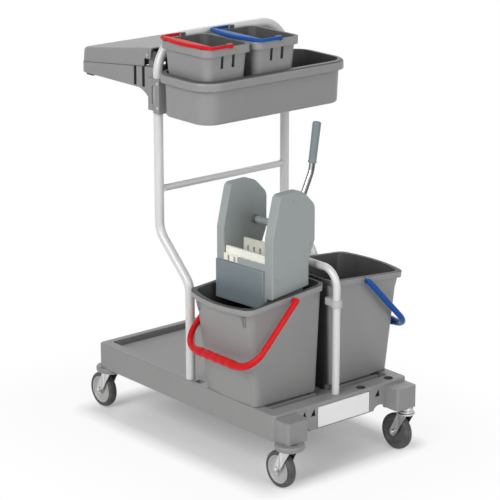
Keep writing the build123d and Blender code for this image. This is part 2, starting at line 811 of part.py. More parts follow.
with BuildPart() as bag_holder:
    with BuildSketch(Plane.XY.offset(holder_bottom)) as ring:
        with Locations((holder_mid, 0)):
            Rectangle(holder_length, 2 * holder_half)
        fillet(ring.vertices().group_by(Axis.X)[0], 45)
        fillet(ring.vertices().group_by(Axis.X)[-1], 8)
    extrude(amount=80)
    split(bisect_by=seam_plane, keep=Keep.BOTTOM)
    with BuildSketch(Plane.XY.offset(holder_bottom - 1)):
        with Locations((holder_mid, 0)):
            RectangleRounded(holder_length - 2 * holder_band, 2 * (holder_half - holder_band), 24)
    extrude(amount=100, mode=Mode.SUBTRACT)
    for side in (-1, 1):
        # curved gusset down the upright, with half of the tube clamp
        with BuildSketch(Plane((0, side * holder_half, 0), x_dir=(1, 0, 0), z_dir=(0, -1, 0))):
            with BuildLine():
                Polyline(
                    (holder_front - 5, 918), (holder_front - 5, 980), (-205, 980), (-205, holder_bottom)
                )
                ThreePointArc((-205, holder_bottom), (-146, 948), (holder_front - 5, 918))
            make_face()
        extrude(amount=side * 22)
        band = sorted((side * clamp_in, side * clamp_out))
        block((holder_front - 8, upright_x - 0.5), band, (clamp_low + 6, clamp_high))
        with Locations((upright_x, side * frame_y, clamp_low - 5)):
            Cylinder(tube_r, 110, align=low, mode=Mode.SUBTRACT)
        slit = sorted((side * 225, side * 240))
        block((upright_x - 6, upright_x + 6), slit, (930, 976), Mode.SUBTRACT)
        # moulded slots in the outer face
        for slot_x in (-192, -156):
            face = sorted((side * (holder_half - 9), side * (holder_half + 1)))
            block((slot_x - 6, slot_x + 6), face, (holder_bottom + 4, seam_z + 20), Mode.SUBTRACT)
        # hinge ears
        with BuildSketch(Plane((hinge_x, side * 206, hinge_z), x_dir=(1, 0, 0), z_dir=(0, side, 0))):
            Circle(10)
        extrude(amount=-10)
        ear = sorted((side * 196, side * 206))
        block((hinge_x - 10, hinge_x + 10), ear, (seam_z - 30, hinge_z))
    cylinder_on(Plane((hinge_x, -240, hinge_z), z_dir=(0, 1, 0)), hinge_r, 480, Mode.SUBTRACT)
keep(bag_holder, "bag_holder")

with BuildPart() as hinge_pins:
    for side in (-1, 1):
        cylinder_on(Plane((hinge_x, side * 196, hinge_z), z_dir=(0, side, 0)), hinge_r, 24)
keep(hinge_pins, "hinge_pins")

with BuildPart() as lid:
    lid_mid = (holder_rear + lid_front) / 2
    lid_length = lid_front - holder_rear
    for z, inset in ((970, 0), (1090, 9)):
        with BuildSketch(Plane.XY.offset(z)) as lid_ring:
            with Locations((lid_mid, 0)):
                Rectangle(lid_length - 2 * inset, 2 * (holder_half - inset))
            fillet(lid_ring.vertices().group_by(Axis.X)[0], 45 - inset)
            fillet(lid_ring.vertices().group_by(Axis.X)[-1], 12)
    loft(ruled=True)
    split(bisect_by=lid_plane, keep=Keep.BOTTOM)
    fillet(lid.faces().sort_by(Axis((0, 0, 0), lid_plane.z_dir))[-1].edges(), 10)
    split(bisect_by=seam_plane.offset(0.8), keep=Keep.TOP)
    offset(amount=-lid_wall, openings=lid.faces().sort_by(Axis((0, 0, 0), seam_plane.z_dir))[0])
    # room to swing past the hinge ears and the uprights
    block((hinge_x - 14, lid_front + 5), (-240, 240), (980, hinge_z - 10), Mode.SUBTRACT)
    for side in (-1, 1):
        corner = sorted((side * 190, side * 240))
        block((hinge_x + 12, lid_front + 5), corner, (980, 1100), Mode.SUBTRACT)
        cylinder_on(Plane((hinge_x, side * 207, hinge_z), z_dir=(0, side, 0)), 9, 12)
        bore = Plane((hinge_x, side * 200, hinge_z), z_dir=(0, side, 0))
        cylinder_on(bore, hinge_r + running_gap, 22, Mode.SUBTRACT)
keep(lid, "lid")

with BuildPart() as bag_catch:
    with BuildSketch(Plane((0, -196, 0), x_dir=(1, 0, 0), z_dir=(0, -1, 0))):
        with BuildLine():
            Polyline(
                (holder_rear + 6, holder_bottom), (holder_rear + 6, holder_bottom - 14),
                (holder_rear + 34, holder_bottom - 14), (holder_rear + 34, holder_bottom - 8),
                (holder_rear + 14, holder_bottom - 8), (holder_rear + 14, holder_bottom), close=True,
            )
        make_face()
    extrude(amount=-36)
keep(bag_catch, "bag_catch")
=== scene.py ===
import json
import math

import bmesh
import bpy
from mathutils import Matrix, Vector


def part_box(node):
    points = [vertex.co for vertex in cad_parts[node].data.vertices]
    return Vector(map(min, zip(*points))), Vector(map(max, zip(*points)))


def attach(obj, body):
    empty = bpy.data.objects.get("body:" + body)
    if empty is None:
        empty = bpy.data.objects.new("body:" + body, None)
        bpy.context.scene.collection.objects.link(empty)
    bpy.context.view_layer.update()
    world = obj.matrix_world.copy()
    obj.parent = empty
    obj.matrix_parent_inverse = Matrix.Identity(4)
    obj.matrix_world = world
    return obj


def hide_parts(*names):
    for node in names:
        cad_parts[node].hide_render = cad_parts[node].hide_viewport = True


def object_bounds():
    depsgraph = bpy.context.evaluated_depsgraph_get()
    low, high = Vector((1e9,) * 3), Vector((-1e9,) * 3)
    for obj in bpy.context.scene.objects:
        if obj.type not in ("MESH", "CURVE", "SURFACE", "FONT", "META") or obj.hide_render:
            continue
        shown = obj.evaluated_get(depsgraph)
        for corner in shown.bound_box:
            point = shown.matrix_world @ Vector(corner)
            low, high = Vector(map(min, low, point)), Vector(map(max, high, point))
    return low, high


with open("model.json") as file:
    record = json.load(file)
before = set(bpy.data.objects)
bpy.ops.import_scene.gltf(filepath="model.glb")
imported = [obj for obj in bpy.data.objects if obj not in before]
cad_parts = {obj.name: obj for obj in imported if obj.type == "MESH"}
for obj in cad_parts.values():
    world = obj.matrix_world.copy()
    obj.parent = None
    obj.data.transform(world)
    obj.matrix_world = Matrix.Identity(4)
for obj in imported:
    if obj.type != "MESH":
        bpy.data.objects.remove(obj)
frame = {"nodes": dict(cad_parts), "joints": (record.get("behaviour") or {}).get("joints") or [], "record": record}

cad_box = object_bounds()

bl_info = {
    "name": "Cleaning Trolley",
    "version": (1, 1, 0),
    "blender": (4, 5, 0),
    "location": "View3D > Sidebar > Trolley",
    "description": "Finishes, wheels, small fittings and a plain studio for a cleaning trolley built on its CAD frame",
    "category": "Object",
}

mm = 0.001  # the operators give their sizes in millimetres
corners = ("front_left", "front_right", "rear_left", "rear_right")
joints = {joint["name"]: joint for joint in frame["joints"]}
full_turn = 2.0 * math.pi
quarter_turn = math.pi / 2.0
upward = Vector((0.0, 0.0, 1.0))
both = (-1.0, 1.0)  # the directions of the two sides or ends of a pair
bucket_sides = {"red": -1.0, "blue": 1.0}
sharp_angle = math.radians(28.0)
smooth_angle = math.radians(38.0)
floor_dust = (0.30, 0.29, 0.275)


def shade_of(label, description, default):
    """A colour that a user may change."""
    return bpy.props.FloatVectorProperty(
        name=label, description=description, subtype="COLOR", size=3, min=0.0, max=1.0, default=default)


def size_of(label, description, default):
    """A length in metres that a user may change."""
    return bpy.props.FloatProperty(name=label, description=description, unit="LENGTH", min=0.0, default=default)


def share_of(label, description, default):
    """A share between nothing and all."""
    return bpy.props.FloatProperty(
        name=label, description=description, subtype="FACTOR", min=0.0, max=1.0, default=default)


def power_of(label, description, default):
    """A lamp's power in watts."""
    return bpy.props.FloatProperty(name=label, description=description, unit="POWER", default=default)


def place_of(label, description, default):
    """A place in metres."""
    return bpy.props.FloatVectorProperty(
        name=label, description=description, subtype="TRANSLATION", size=3, default=default)


class TrolleyColours(bpy.types.PropertyGroup):
    """Colours of the finishes and of the floor"""
    moulded_grey: shade_of("Moulded grey", "Platform, buckets, tray and bag holder", (0.272, 0.272, 0.270))
    # Painted shade on the top of the lid, a little darker than its sides.
    lid_top_painted_shade: shade_of("Lid pale", "Top of the lid, where it has faded", (0.262, 0.262, 0.26))
    press_grey: shade_of("Press grey", "Body, ears and shaft sleeve of the press", (0.325, 0.362, 0.358))
    panel_blue: shade_of("Panel blue-grey", "Splash panel of the press", (0.190, 0.232, 0.250))
    # On the linings, the sleeves of the bushes and the lid's lip this black is painted shade; the catch and the bush
    # flanges are black themselves.
    fitting_black: shade_of("Fitting black", "Catch, linings, bushes and seal", (0.02, 0.02, 0.022))
    clip_grey: shade_of("Clip grey", "Clip on the bucket arch", (0.50, 0.50, 0.495))
    bail_red: shade_of("Bail red", "Red bails", (0.62, 0.010, 0.014))
    bail_blue: shade_of("Bail blue", "Blue bails", (0.008, 0.085, 0.36))
    jaw_cream: shade_of("Jaw cream", "Jaws, racks and pinions of the press", (0.90, 0.895, 0.79))
    grip_grey: shade_of("Grip grey", "Grip of the lever", (0.185, 0.222, 0.238))
    plate_white: shade_of("Plate white", "Blank plate on the end wall", (0.90, 0.90, 0.90))
    tube_pale: shade_of("Tube pale", "Powder coat of the bent tubes", (0.70, 0.70, 0.695))
    bare_zinc: shade_of("Bare zinc", "Pins, shafts, axles and screws", (0.55, 0.55, 0.54))
    bright_chrome: shade_of("Bright chrome", "Lever, forks and castor heads", (0.72, 0.725, 0.73))
    hub_pale: shade_of("Pale hub", "Wheel discs on the bumper side", (0.46, 0.46, 0.455))
    hub_dark: shade_of("Dark hub", "Wheel discs on the plain side", (0.085, 0.085, 0.087))
    tyre_grey: shade_of("Tyre grey", "Treads", (0.055, 0.055, 0.056))
    bumper_grey: shade_of("Bumper grey", "Cups above the castors", (0.25, 0.25, 0.252))
    floor_white: shade_of("Floor white", "Studio floor", (0.94, 0.94, 0.94))


class TrolleySurfaces(bpy.types.PropertyGroup):
    """Grain, clouds and edges of the mouldings"""
    edge_radius: size_of("Edge radius", "Rounding that the light shows on moulded edges", 0.0016)
    grain_size: size_of("Grain size", "Spacing of the moulded grain", 0.0017)
    grain_depth: size_of("Grain depth", "Depth of the moulded grain", 0.00012)
    cloud_size: size_of("Cloud size", "Spacing of the slow colour clouds in a moulding", 0.14)
    edge_wear: share_of("Edge wear", "How far handled edges have paled", 0.20)


class TrolleyStudio(bpy.types.PropertyGroup):
    """Camera, light and floor"""
    camera_place: place_of("Camera place", "Where the camera stands", (4.2715, -3.5714, 2.1849))
    camera_target: place_of("Camera target", "The point the camera looks at", (0.01257, 0.0, 0.51157))
    lens: bpy.props.FloatProperty(
        name="Lens", description="Focal length on a 36 mm sensor", unit="CAMERA", default=155.05)
    key_power: power_of("Key power", "Large soft lamp at the left", 175.0)
    fill_power: power_of("Fill power", "Large soft lamp at the right", 80.0)
    back_power: power_of("Back power", "Soft lamp behind and above", 38.0)
    room_light: share_of("Room light", "Even light from all round", 0.27)
    floor_size: size_of("Floor size", "Width of the studio floor", 40.0)
    shadow_reach: size_of("Shadow reach", "Distance from the trolley at which the floor has become plain white", 0.8)


class Signal:
    """A shader socket that takes part in plain arithmetic."""

    def __init__(self, finish, socket):
        self.finish = finish
        self.socket = socket

    def maths(self, operation, first, second):
        return self.finish.node("ShaderNodeMath", {"operation": operation}, {"Value": first, "Value_001": second})

    def __add__(self, other):
        return self.maths("ADD", self, other)

    def __radd__(self, other):
        return self.maths("ADD", other, self)

    def __sub__(self, other):
        return self.maths("SUBTRACT", self, other)

    def __rsub__(self, other):
        return self.maths("SUBTRACT", other, self)

    def __mul__(self, other):
        return self.maths("MULTIPLY", self, other)

    def __rmul__(self, other):
        return self.maths("MULTIPLY", other, self)

    def __or__(self, other):
        return self.maths("MAXIMUM", self, other)

    def __ror__(self, other):
        return self.maths("MAXIMUM", other, self)


class Finish:
    """A node tree under construction, and the patterns that this trolley's finishes share."""

    def __init__(self, tree):
        self.tree = tree
        self.tree.nodes.clear()

    def node(self, kind, settings=None, sockets=None, output=0):
        """Add a node of a kind: its settings first, then the values or links of its sockets."""
        made = self.tree.nodes.new(kind)
        for key, value in (settings or {}).items():
            if key == "stops":
                for stop, (place, level) in zip(made.color_ramp.elements, value):
                    stop.position = place
                    stop.color = (level, level, level, 1.0)
            else:
                setattr(made, key, value)
        places = {socket.identifier: socket for socket in made.inputs}
        for key, value in (sockets or {}).items():
            if isinstance(value, Signal):
                self.tree.links.new(value.socket, places[key])
            else:
                places[key].default_value = value
        return Signal(self, made.outputs[output]) if made.outputs else None

    def spot(self, stretch=(1.0, 1.0, 1.0), turn=(0.0, 0.0, 0.0)):
        """The place on the piece, stretched and turned for a pattern."""
        place = self.node("ShaderNodeTexCoord", output="Object")
        return self.node("ShaderNodeMapping", {}, {"Vector": place, "Scale": stretch, "Rotation": turn})

    def parts(self, output):
        """The three parts of a place or of a direction."""
        whole = self.node("ShaderNodeTexCoord", output=output)
        return [self.node("ShaderNodeSeparateXYZ", {}, {"Vector": whole}, output=axis) for axis in range(3)]

    def cloud(self, spacing, detail=3.0, stretch=(1.0, 1.0, 1.0), turn=(0.0, 0.0, 0.0)):
        """Soft noise between 0 and 1 with features about one spacing apart."""
        return self.node(
            "ShaderNodeTexNoise", {},
            {"Vector": self.spot(stretch, turn), "Scale": 1.0 / spacing, "Detail": detail, "Roughness": 0.55})

    def above(self, signal, low, high):
        """A mask that rises from 0 to 1 as a signal passes from low to high, both between 0 and 1."""
        return self.node("ShaderNodeValToRGB", {"stops": ((low, 0.0), (high, 1.0))}, {"Fac": signal})

    def mix(self, factor, first, second):
        """A colour between two colours."""
        sockets = {"Factor_Float": factor, "A_Color": opaque(first), "B_Color": opaque(second)}
        return self.node("ShaderNodeMix", {"data_type": "RGBA"}, sockets, output=2)

    def layered(self, tone, shade, *layers):
        """A colour under (mask, level) layers, each a shade made lighter or darker by its level."""
        for mask, level in layers:
            tone = self.mix(mask, tone, scaled(shade, level))
        return tone

    def rounded(self, radius):
        """The normal as it is on an edge with a small radius."""
        return self.node("ShaderNodeBevel", {"samples": 4}, {"Radius": radius})

    def edge(self, rounded):
        """A mask of the edges that a rounded normal softens."""
        flat = self.node("ShaderNodeNewGeometry", output="Normal")
        along = self.node("ShaderNodeVectorMath", {"operation": "DOT_PRODUCT"}, {
            "Vector": rounded, "Vector_001": flat}, output="Value")
        return self.above(1.0 - along, 0.01, 0.16)

    def hollow(self, node, depth, tilt):
        """A mask of a tub's inside that grows with the depth below its rim; tilt is the rim's slope along Y."""
        # The painted shade inside a tub starts at this share of its full strength just below the rim.
        shade_at_rim = 0.86
        low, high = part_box(node)
        middle = middle_of(node)
        high_y = high.y if tilt > 0.0 else low.y
        place = self.parts("Object")
        turned = self.parts("Normal")
        outward = (place[0] - middle.x) * turned[0] + (place[1] - middle.y) * turned[1]
        walls = self.above(0.5 - outward * 10.0, 0.55, 0.70)
        ground = self.above(turned[2], 0.5, 0.7)
        rim = high.z + (place[1] - high_y) * tilt
        sunk = self.above((rim - place[2]) * (1.0 / depth), 0.05, 1.0)
        return (walls | ground) * (shade_at_rim + sunk * (1.0 - shade_at_rim))

    def bump(self, height, depth, normal=None):
        """A normal that follows a height, with a depth in metres."""
        sockets = {"Height": height, "Distance": depth, "Strength": 1.0}
        if normal:
            sockets["Normal"] = normal
        return self.node("ShaderNodeBump", {}, sockets)

    def close(self, **sockets):
        """End the tree in one shader."""
        places = {name.replace("_", " ").title().replace("Ior", "IOR"): value for name, value in sockets.items()}
        shader = self.node("ShaderNodeBsdfPrincipled", {}, places)
        self.node("ShaderNodeOutputMaterial", {}, {"Surface": shader})


def opaque(shade):
    """A colour with the fourth number that sockets ask for."""
    return shade if isinstance(shade, Signal) else (*shade[:3], 1.0)


def scaled(shade, factor):
    """A colour made lighter or darker."""
    return tuple(min(1.0, level * factor) for level in shade)


def new_finish(name):
    """A material and the tree its nodes go in."""
    material = bpy.data.materials.new(name)
    material.use_nodes = True
    return material, Finish(material.node_tree)


def moulded_plastic(name, shade, roughness=0.44, inside=None, top_painted_shade=None, shaded_side=0.0, shaded_below=None):
    """Injection-moulded plastic: slow clouds of colour, fine grain, draw marks and paler handled edges.

    inside is (node, depth, tilt, level) for a tub whose inside is painted darker with depth, a painted shade;
    top_painted_shade is the colour painted on the top as shade; shaded_side is the sign along Y of a side
    painted dark as shade; shaded_below is the height below which the piece is painted dark as shade.
    """
    surfaces = bpy.context.scene.trolley_surfaces
    material, finish = new_finish(name)
    rounded = finish.rounded(surfaces.edge_radius)
    edge = finish.edge(rounded)
    cloud = finish.cloud(surfaces.cloud_size)
    grain = finish.cloud(surfaces.grain_size, detail=2.0)
    draw_marks = finish.cloud(0.012, detail=4.0, stretch=(1.0, 1.0, 0.06))
    scuffs = finish.above(finish.cloud(0.05, detail=6.0, stretch=(1.0, 0.25, 1.0), turn=(0.4, 0.2, 0.7)), 0.62, 0.74)
    tone = finish.mix(cloud, scaled(shade, 0.95), scaled(shade, 1.05))
    tone = finish.layered(tone, shade, (draw_marks * 0.10, 0.82), (grain * 0.08, 0.75), (scuffs * 0.07, 1.35))
    # Painted shade: faces that look up take a separate top colour.
    if top_painted_shade:
        top = finish.above(finish.parts("Normal")[2], 0.80, 0.97)
        tone = finish.mix(top * (0.75 + cloud * 0.25), tone, top_painted_shade)
    tone = finish.layered(tone, shade, (edge * surfaces.edge_wear, 1.5))
    rough = roughness - 0.06 + cloud * 0.08 + grain * 0.05 + scuffs * 0.08
    # Painted shade: a tub's inside is darkened more the deeper it lies below the rim.
    if inside:
        node, depth, tilt, level = inside
        inside_shade = finish.hollow(node, depth, tilt)
        tone = finish.layered(tone, shade, (inside_shade, level))
        rough = rough + inside_shade * 0.12
    # Painted shade: the side that faces the other bucket is darkened.
    if shaded_side:
        side = finish.above(finish.parts("Normal")[1] * shaded_side, 0.75, 0.95)
        tone = finish.layered(tone, shade, (side * 0.85, 0.12))
    # Painted shade: the piece is darkened below a height.
    if shaded_below:
        low_shade = finish.above((shaded_below - finish.parts("Object")[2]) * 60.0, 0.0, 0.6)
        tone = finish.layered(tone, shade, (low_shade, 0.05))
    finish.close(base_color=tone, roughness=rough, normal=finish.bump(grain, surfaces.grain_depth, rounded))
    return material


def gloss_plastic(name, shade, roughness=0.22):
    """Coloured handle plastic with a semi-gloss skin, flow lines and fine scratches."""
    scratch_pale = (0.75, 0.72, 0.72)
    surfaces = bpy.context.scene.trolley_surfaces
    material, finish = new_finish(name)
    rounded = finish.rounded(0.0012)
    edge = finish.edge(rounded)
    flow = finish.cloud(0.03, detail=4.0, stretch=(0.2, 1.0, 1.0))
    peel = finish.cloud(0.003, detail=1.0)
    scratches = finish.above(finish.cloud(0.01, detail=6.0, stretch=(0.1, 1.0, 1.0), turn=(0.3, 0.5, 0.2)), 0.60, 0.72)
    tone = finish.mix(flow, scaled(shade, 0.86), scaled(shade, 1.10))
    tone = finish.mix(scratches * 0.03, tone, scratch_pale)
    finish.close(
        base_color=finish.layered(tone, shade, (edge * surfaces.edge_wear * 0.3, 1.4)),
        roughness=roughness + flow * 0.06 + scratches * 0.14,
        specular_ior_level=0.14,
        normal=finish.bump(peel, 0.00008, rounded))
    return material


def powder_coat(name, shade):
    """Pale powder coat over steel tube, with orange peel, faint rub marks and dust towards the floor."""
    material, finish = new_finish(name)
    peel = finish.cloud(0.0035, detail=1.0)
    flake = finish.cloud(0.0009, detail=1.0)
    rubs = finish.above(finish.cloud(0.03, detail=5.0, stretch=(1.0, 1.0, 0.4)), 0.60, 0.75)
    low_dust = finish.above(1.0 - finish.parts("Object")[2], 0.62, 0.84)
    tone = finish.mix(finish.cloud(0.2), scaled(shade, 0.95), scaled(shade, 1.04))
    finish.close(
        base_color=finish.layered(tone, shade, (flake * 0.10, 0.8), (rubs * 0.10, 0.75), (low_dust * 0.10, 0.7)),
        metallic=0.08,
        roughness=0.34 + rubs * 0.12 + peel * 0.06,
        coat_weight=0.15,
        coat_roughness=0.22,
        normal=finish.bump(peel, 0.00008))
    return material


def plated_steel(name, shade, roughness, streak=0.0, spangle=0.06, stripes=None):
    """Plated steel with faint crystals and a film of handling.

    streak darkens bands that run up the piece, painted reflections of a dark room; stripes is the direction
    on whose two sides a bright tube is painted with dark reflections of a room.
    """
    material, finish = new_finish(name)
    crystals = finish.node("ShaderNodeTexVoronoi", {}, {"Vector": finish.spot(), "Scale": 260.0}, output="Color")
    smear = finish.cloud(0.02, detail=5.0, stretch=(1.0, 1.0, 0.4))
    brushed = finish.cloud(0.0008, detail=2.0, stretch=(1.0, 1.0, 0.03))
    tone = finish.layered(shade, shade, (smear * 0.25, 0.72))
    # Painted reflections: dark bands that run up the piece.
    if streak:
        bands = finish.above(finish.cloud(0.012, detail=2.0, stretch=(1.0, 1.0, 0.05)), 0.42, 0.62)
        tone = finish.layered(tone, shade, (bands * streak, 0.12))
    # Painted reflections: dark stripes on the two sides of a direction.
    if stripes:
        turned = finish.parts("Normal")
        aside = turned[0] * stripes[0] + turned[1] * stripes[1]
        wide, narrow = finish.above(aside, 0.0, 0.12), finish.above(0.0 - aside, 0.42, 0.58)
        tone = finish.layered(tone, shade, (wide * 0.9, 0.06), (narrow * 0.8, 0.10))
    finish.close(
        base_color=finish.mix(spangle, tone, crystals),
        metallic=1.0,
        roughness=roughness + smear * 0.16,
        normal=finish.bump(brushed, 0.00003, finish.rounded(0.0008)))
    return material


def tread_rubber(name, shade, dust):
    """Rubber with a dull skin, fine pits and floor dust."""
    material, finish = new_finish(name)
    pits = finish.cloud(0.0012, detail=3.0)
    powder = finish.above(finish.cloud(0.018, detail=6.0), 0.42, 0.72)
    tone = finish.mix(powder * dust, shade, floor_dust)
    finish.close(
        base_color=finish.layered(tone, shade, (pits * 0.25, 0.6)),
        roughness=0.56 + powder * 0.2,
        normal=finish.bump(pits, 0.00018, finish.rounded(0.0012)))
    return material


def blank_film(name, shade):
    """A white film plate, faintly waved by the wall behind it."""
    material, finish = new_finish(name)
    waves = finish.cloud(0.03, detail=2.0)
    specks = finish.cloud(0.0009, detail=2.0)
    finish.close(
        base_color=finish.layered(shade, shade, (waves * 0.5, 0.94), (specks * 0.06, 0.7)),
        roughness=0.34 + specks * 0.1,
        normal=finish.bump(waves, 0.0004, finish.rounded(0.001)))
    return material


def dress(material, *nodes):
    """Give CAD nodes a finish."""
    for node in nodes:
        piece = frame["nodes"].get(node)
        if piece is None:
            raise RuntimeError(f"the frame has no node {node}")
        for slot in piece.material_slots:
            slot.material = material


def only(kind, items):
    """Those of a bmesh's items that are of one kind."""
    return [item for item in items if isinstance(item, kind)]


def faced_out(shape):
    """A shape with its faces turned to the outside."""
    bmesh.ops.recalc_face_normals(shape, faces=shape.faces)
    return shape


def spun(points, steps, closed=False):
    """A shape turned about the Z axis from (radius, height) points in millimetres."""
    shape = bmesh.new()
    rail = [shape.verts.new((radius * mm, 0.0, height * mm)) for radius, height in points]
    ends = rail[1:] + rail[:1] if closed else rail[1:]
    edges = [shape.edges.new(pair) for pair in zip(rail, ends)]
    bmesh.ops.spin(
        shape, geom=rail + edges, cent=(0.0, 0.0, 0.0), axis=upward, dvec=(0.0, 0.0, 0.0), angle=full_turn,
        steps=steps, use_merge=True)
    bmesh.ops.remove_doubles(shape, verts=shape.verts, dist=0.001 * mm)
    return faced_out(shape)


def disc(segments, radius, stand=Matrix()):
    """A flat disc with a radius in millimetres, where a matrix stands it."""
    shape = bmesh.new()
    bmesh.ops.create_circle(shape, cap_ends=True, segments=segments, radius=radius * mm, matrix=stand)
    return shape


def rounded_off(shape, edges, width, segments):
    """A shape with some edges rounded by a width in millimetres."""
    bmesh.ops.bevel(
        shape, geom=edges, offset=width * mm, offset_type="OFFSET", affect="EDGES", segments=segments, profile=0.5,
        material=-1, clamp_overlap=True)
    return shape


def soften(shape, width, segments=2):
    """A shape with its sharp edges rounded by a width in millimetres."""
    sharp = [edge for edge in shape.edges if edge.calc_face_angle(0.0) > sharp_angle]
    return rounded_off(shape, sharp, width, segments)


def raised(shape, faces, vector):
    """Extrude faces of a shape along a vector in millimetres."""
    grown = bmesh.ops.extrude_face_region(shape, geom=faces)["geom"]
    bmesh.ops.translate(shape, verts=only(bmesh.types.BMVert, grown), vec=Vector(vector) * mm)


def slab(outline, vector):
    """A plate in millimetres from the corners of one side and the vector to its other side."""
    shape = bmesh.new()
    face = shape.faces.new([shape.verts.new(Vector(corner) * mm) for corner in outline])
    raised(shape, [face], vector)
    return faced_out(shape)


def doubled(shape, axis, merge):
    """A shape with its mirror image, joined where the two meet within a distance in millimetres."""
    bmesh.ops.mirror(shape, geom=shape.verts[:] + shape.edges[:] + shape.faces[:], axis=axis, merge_dist=merge * mm)
    return faced_out(shape)


def next_ring(shape, ring, move, swell=1.0):
    """Extrude a ring of edges, move the new ring by a matrix and swell it about its own middle."""
    grown = bmesh.ops.extrude_edge_only(shape, edges=ring)["geom"]
    verts = only(bmesh.types.BMVert, grown)
    bmesh.ops.transform(shape, matrix=move, verts=verts)
    middle = sum((vert.co for vert in verts), Vector()) / len(verts)
    bmesh.ops.scale(shape, vec=(swell, swell, swell), space=Matrix.Translation(-middle), verts=verts)
    return only(bmesh.types.BMEdge, grown)


def turned_about(middle, angle, axis):
    """The matrix that turns a shape about an axis through a middle."""
    return Matrix.Translation(middle) @ Matrix.Rotation(angle, 4, axis) @ Matrix.Translation(-middle)


def lining(mouth, inward, wall):
    """A thin cup in millimetres that lines a recess, from the corners of its mouth along a vector."""
    shape = slab(mouth, inward)
    front = min(shape.faces, key=lambda face: face.calc_center_median().dot(Vector(inward)))
    bmesh.ops.inset_region(
        shape, faces=[front], thickness=wall * mm, depth=(wall - Vector(inward).length) * mm, use_even_offset=True)
    return shape


def hexagon(radius, low, high, edge):
    """A hexagon that stands between two heights, in millimetres, with softened edges."""
    shape = disc(6, radius, Matrix.Translation((0.0, 0.0, low * mm)))
    raised(shape, shape.faces[:], (0.0, 0.0, high - low))
    return soften(faced_out(shape), edge)


def socket_screw(head, dome, key):
    """A domed screw head with a hexagon socket, in millimetres, its seat at the origin."""
    shape = disc(6, key, Matrix.Translation((0.0, 0.0, dome * 0.25 * mm)))
    bmesh.ops.subdivide_edges(shape, edges=shape.edges[:], cuts=3)
    rim = [edge for edge in shape.edges if edge.is_boundary]
    for reach, height in ((None, 1.0), (0.72, 0.98), (0.90, 0.76), (1.0, 0.42), (1.0, -0.1)):
        rim = only(bmesh.types.BMEdge, bmesh.ops.extrude_edge_only(shape, edges=rim)["geom"])
        for vert in {vert for edge in rim for vert in edge.verts}:
            if reach:
                vert.co.xy = vert.co.xy.normalized() * head * reach * mm
            vert.co.z = dome * height * mm
    bmesh.ops.contextual_create(shape, geom=rim)
    return faced_out(shape)


def facing(place, direction):
    """The matrix that stands a shape's Z axis along a direction at a place."""
    return Matrix.Translation(place) @ Vector(direction).to_track_quat("Z", "Y").to_matrix().to_4x4()


def standing(place, first, second, third=upward):
    """The matrix that stands a shape's three axes along three directions at a place."""
    matrix = Matrix((first, second, third)).transposed().to_4x4()
    matrix.translation = place
    return matrix


def press_shaft():
    """The middle of the press's shaft, the direction along it and the level direction across it."""
    pull = joints["lever_pull"]
    along = Vector(pull["axis"])
    return Vector(pull["pos_m"]), along, upward.cross(along)


def gathered(*placed):
    """One shape from (shape, matrices) pairs, with each shape repeated at its matrices."""
    whole = bmesh.new()
    for shape, matrices in placed:
        pattern = bpy.data.meshes.new("pattern")
        shape.to_mesh(pattern)
        shape.free()
        for matrix in matrices:
            before = len(whole.verts)
            whole.from_mesh(pattern)
            whole.verts.ensure_lookup_table()
            bmesh.ops.transform(whole, matrix=matrix, verts=whole.verts[before:])
        bpy.data.meshes.remove(pattern)
    return whole


def settle(shape, name, body, slot, material, *replaced):
    """Make a finished shape a piece that rides on a body and stands for CAD nodes."""
    mesh = bpy.data.meshes.new(name)
    shape.to_mesh(mesh)
    shape.free()
    mesh.materials.append(material)
    mesh.shade_smooth()
    mesh.set_sharp_from_angle(angle=smooth_angle)
    piece = bpy.data.objects.new(name, mesh)
    bpy.context.scene.collection.objects.link(piece)
    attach(piece, body)
    if replaced:
        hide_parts(*replaced)


def middle_of(node):
    """The middle of a CAD node's box."""
    low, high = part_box(node)
    return (low + high) / 2.0


class TrolleyOperator(bpy.types.Operator):
    """A step of the build that can be undone"""
    bl_options = {"REGISTER", "UNDO"}


class TROLLEY_OT_platform(TrolleyOperator):
    """Finish the moulded platform, its blank plate and its bumper cups"""
    bl_idname = "trolley.platform"
    bl_label = "Platform"

    def execute(self, context):
        colours = context.scene.trolley_colours
        dress(moulded_plastic("platform_grey", colours.moulded_grey), "base_platform")
        dress(blank_film("plate_film", colours.plate_white), "blank_plate")
        cup = moulded_plastic("bumper_cup", colours.bumper_grey, roughness=0.36)
        dress(cup, "front_left_bumper", "rear_left_bumper")
        return {"FINISHED"}


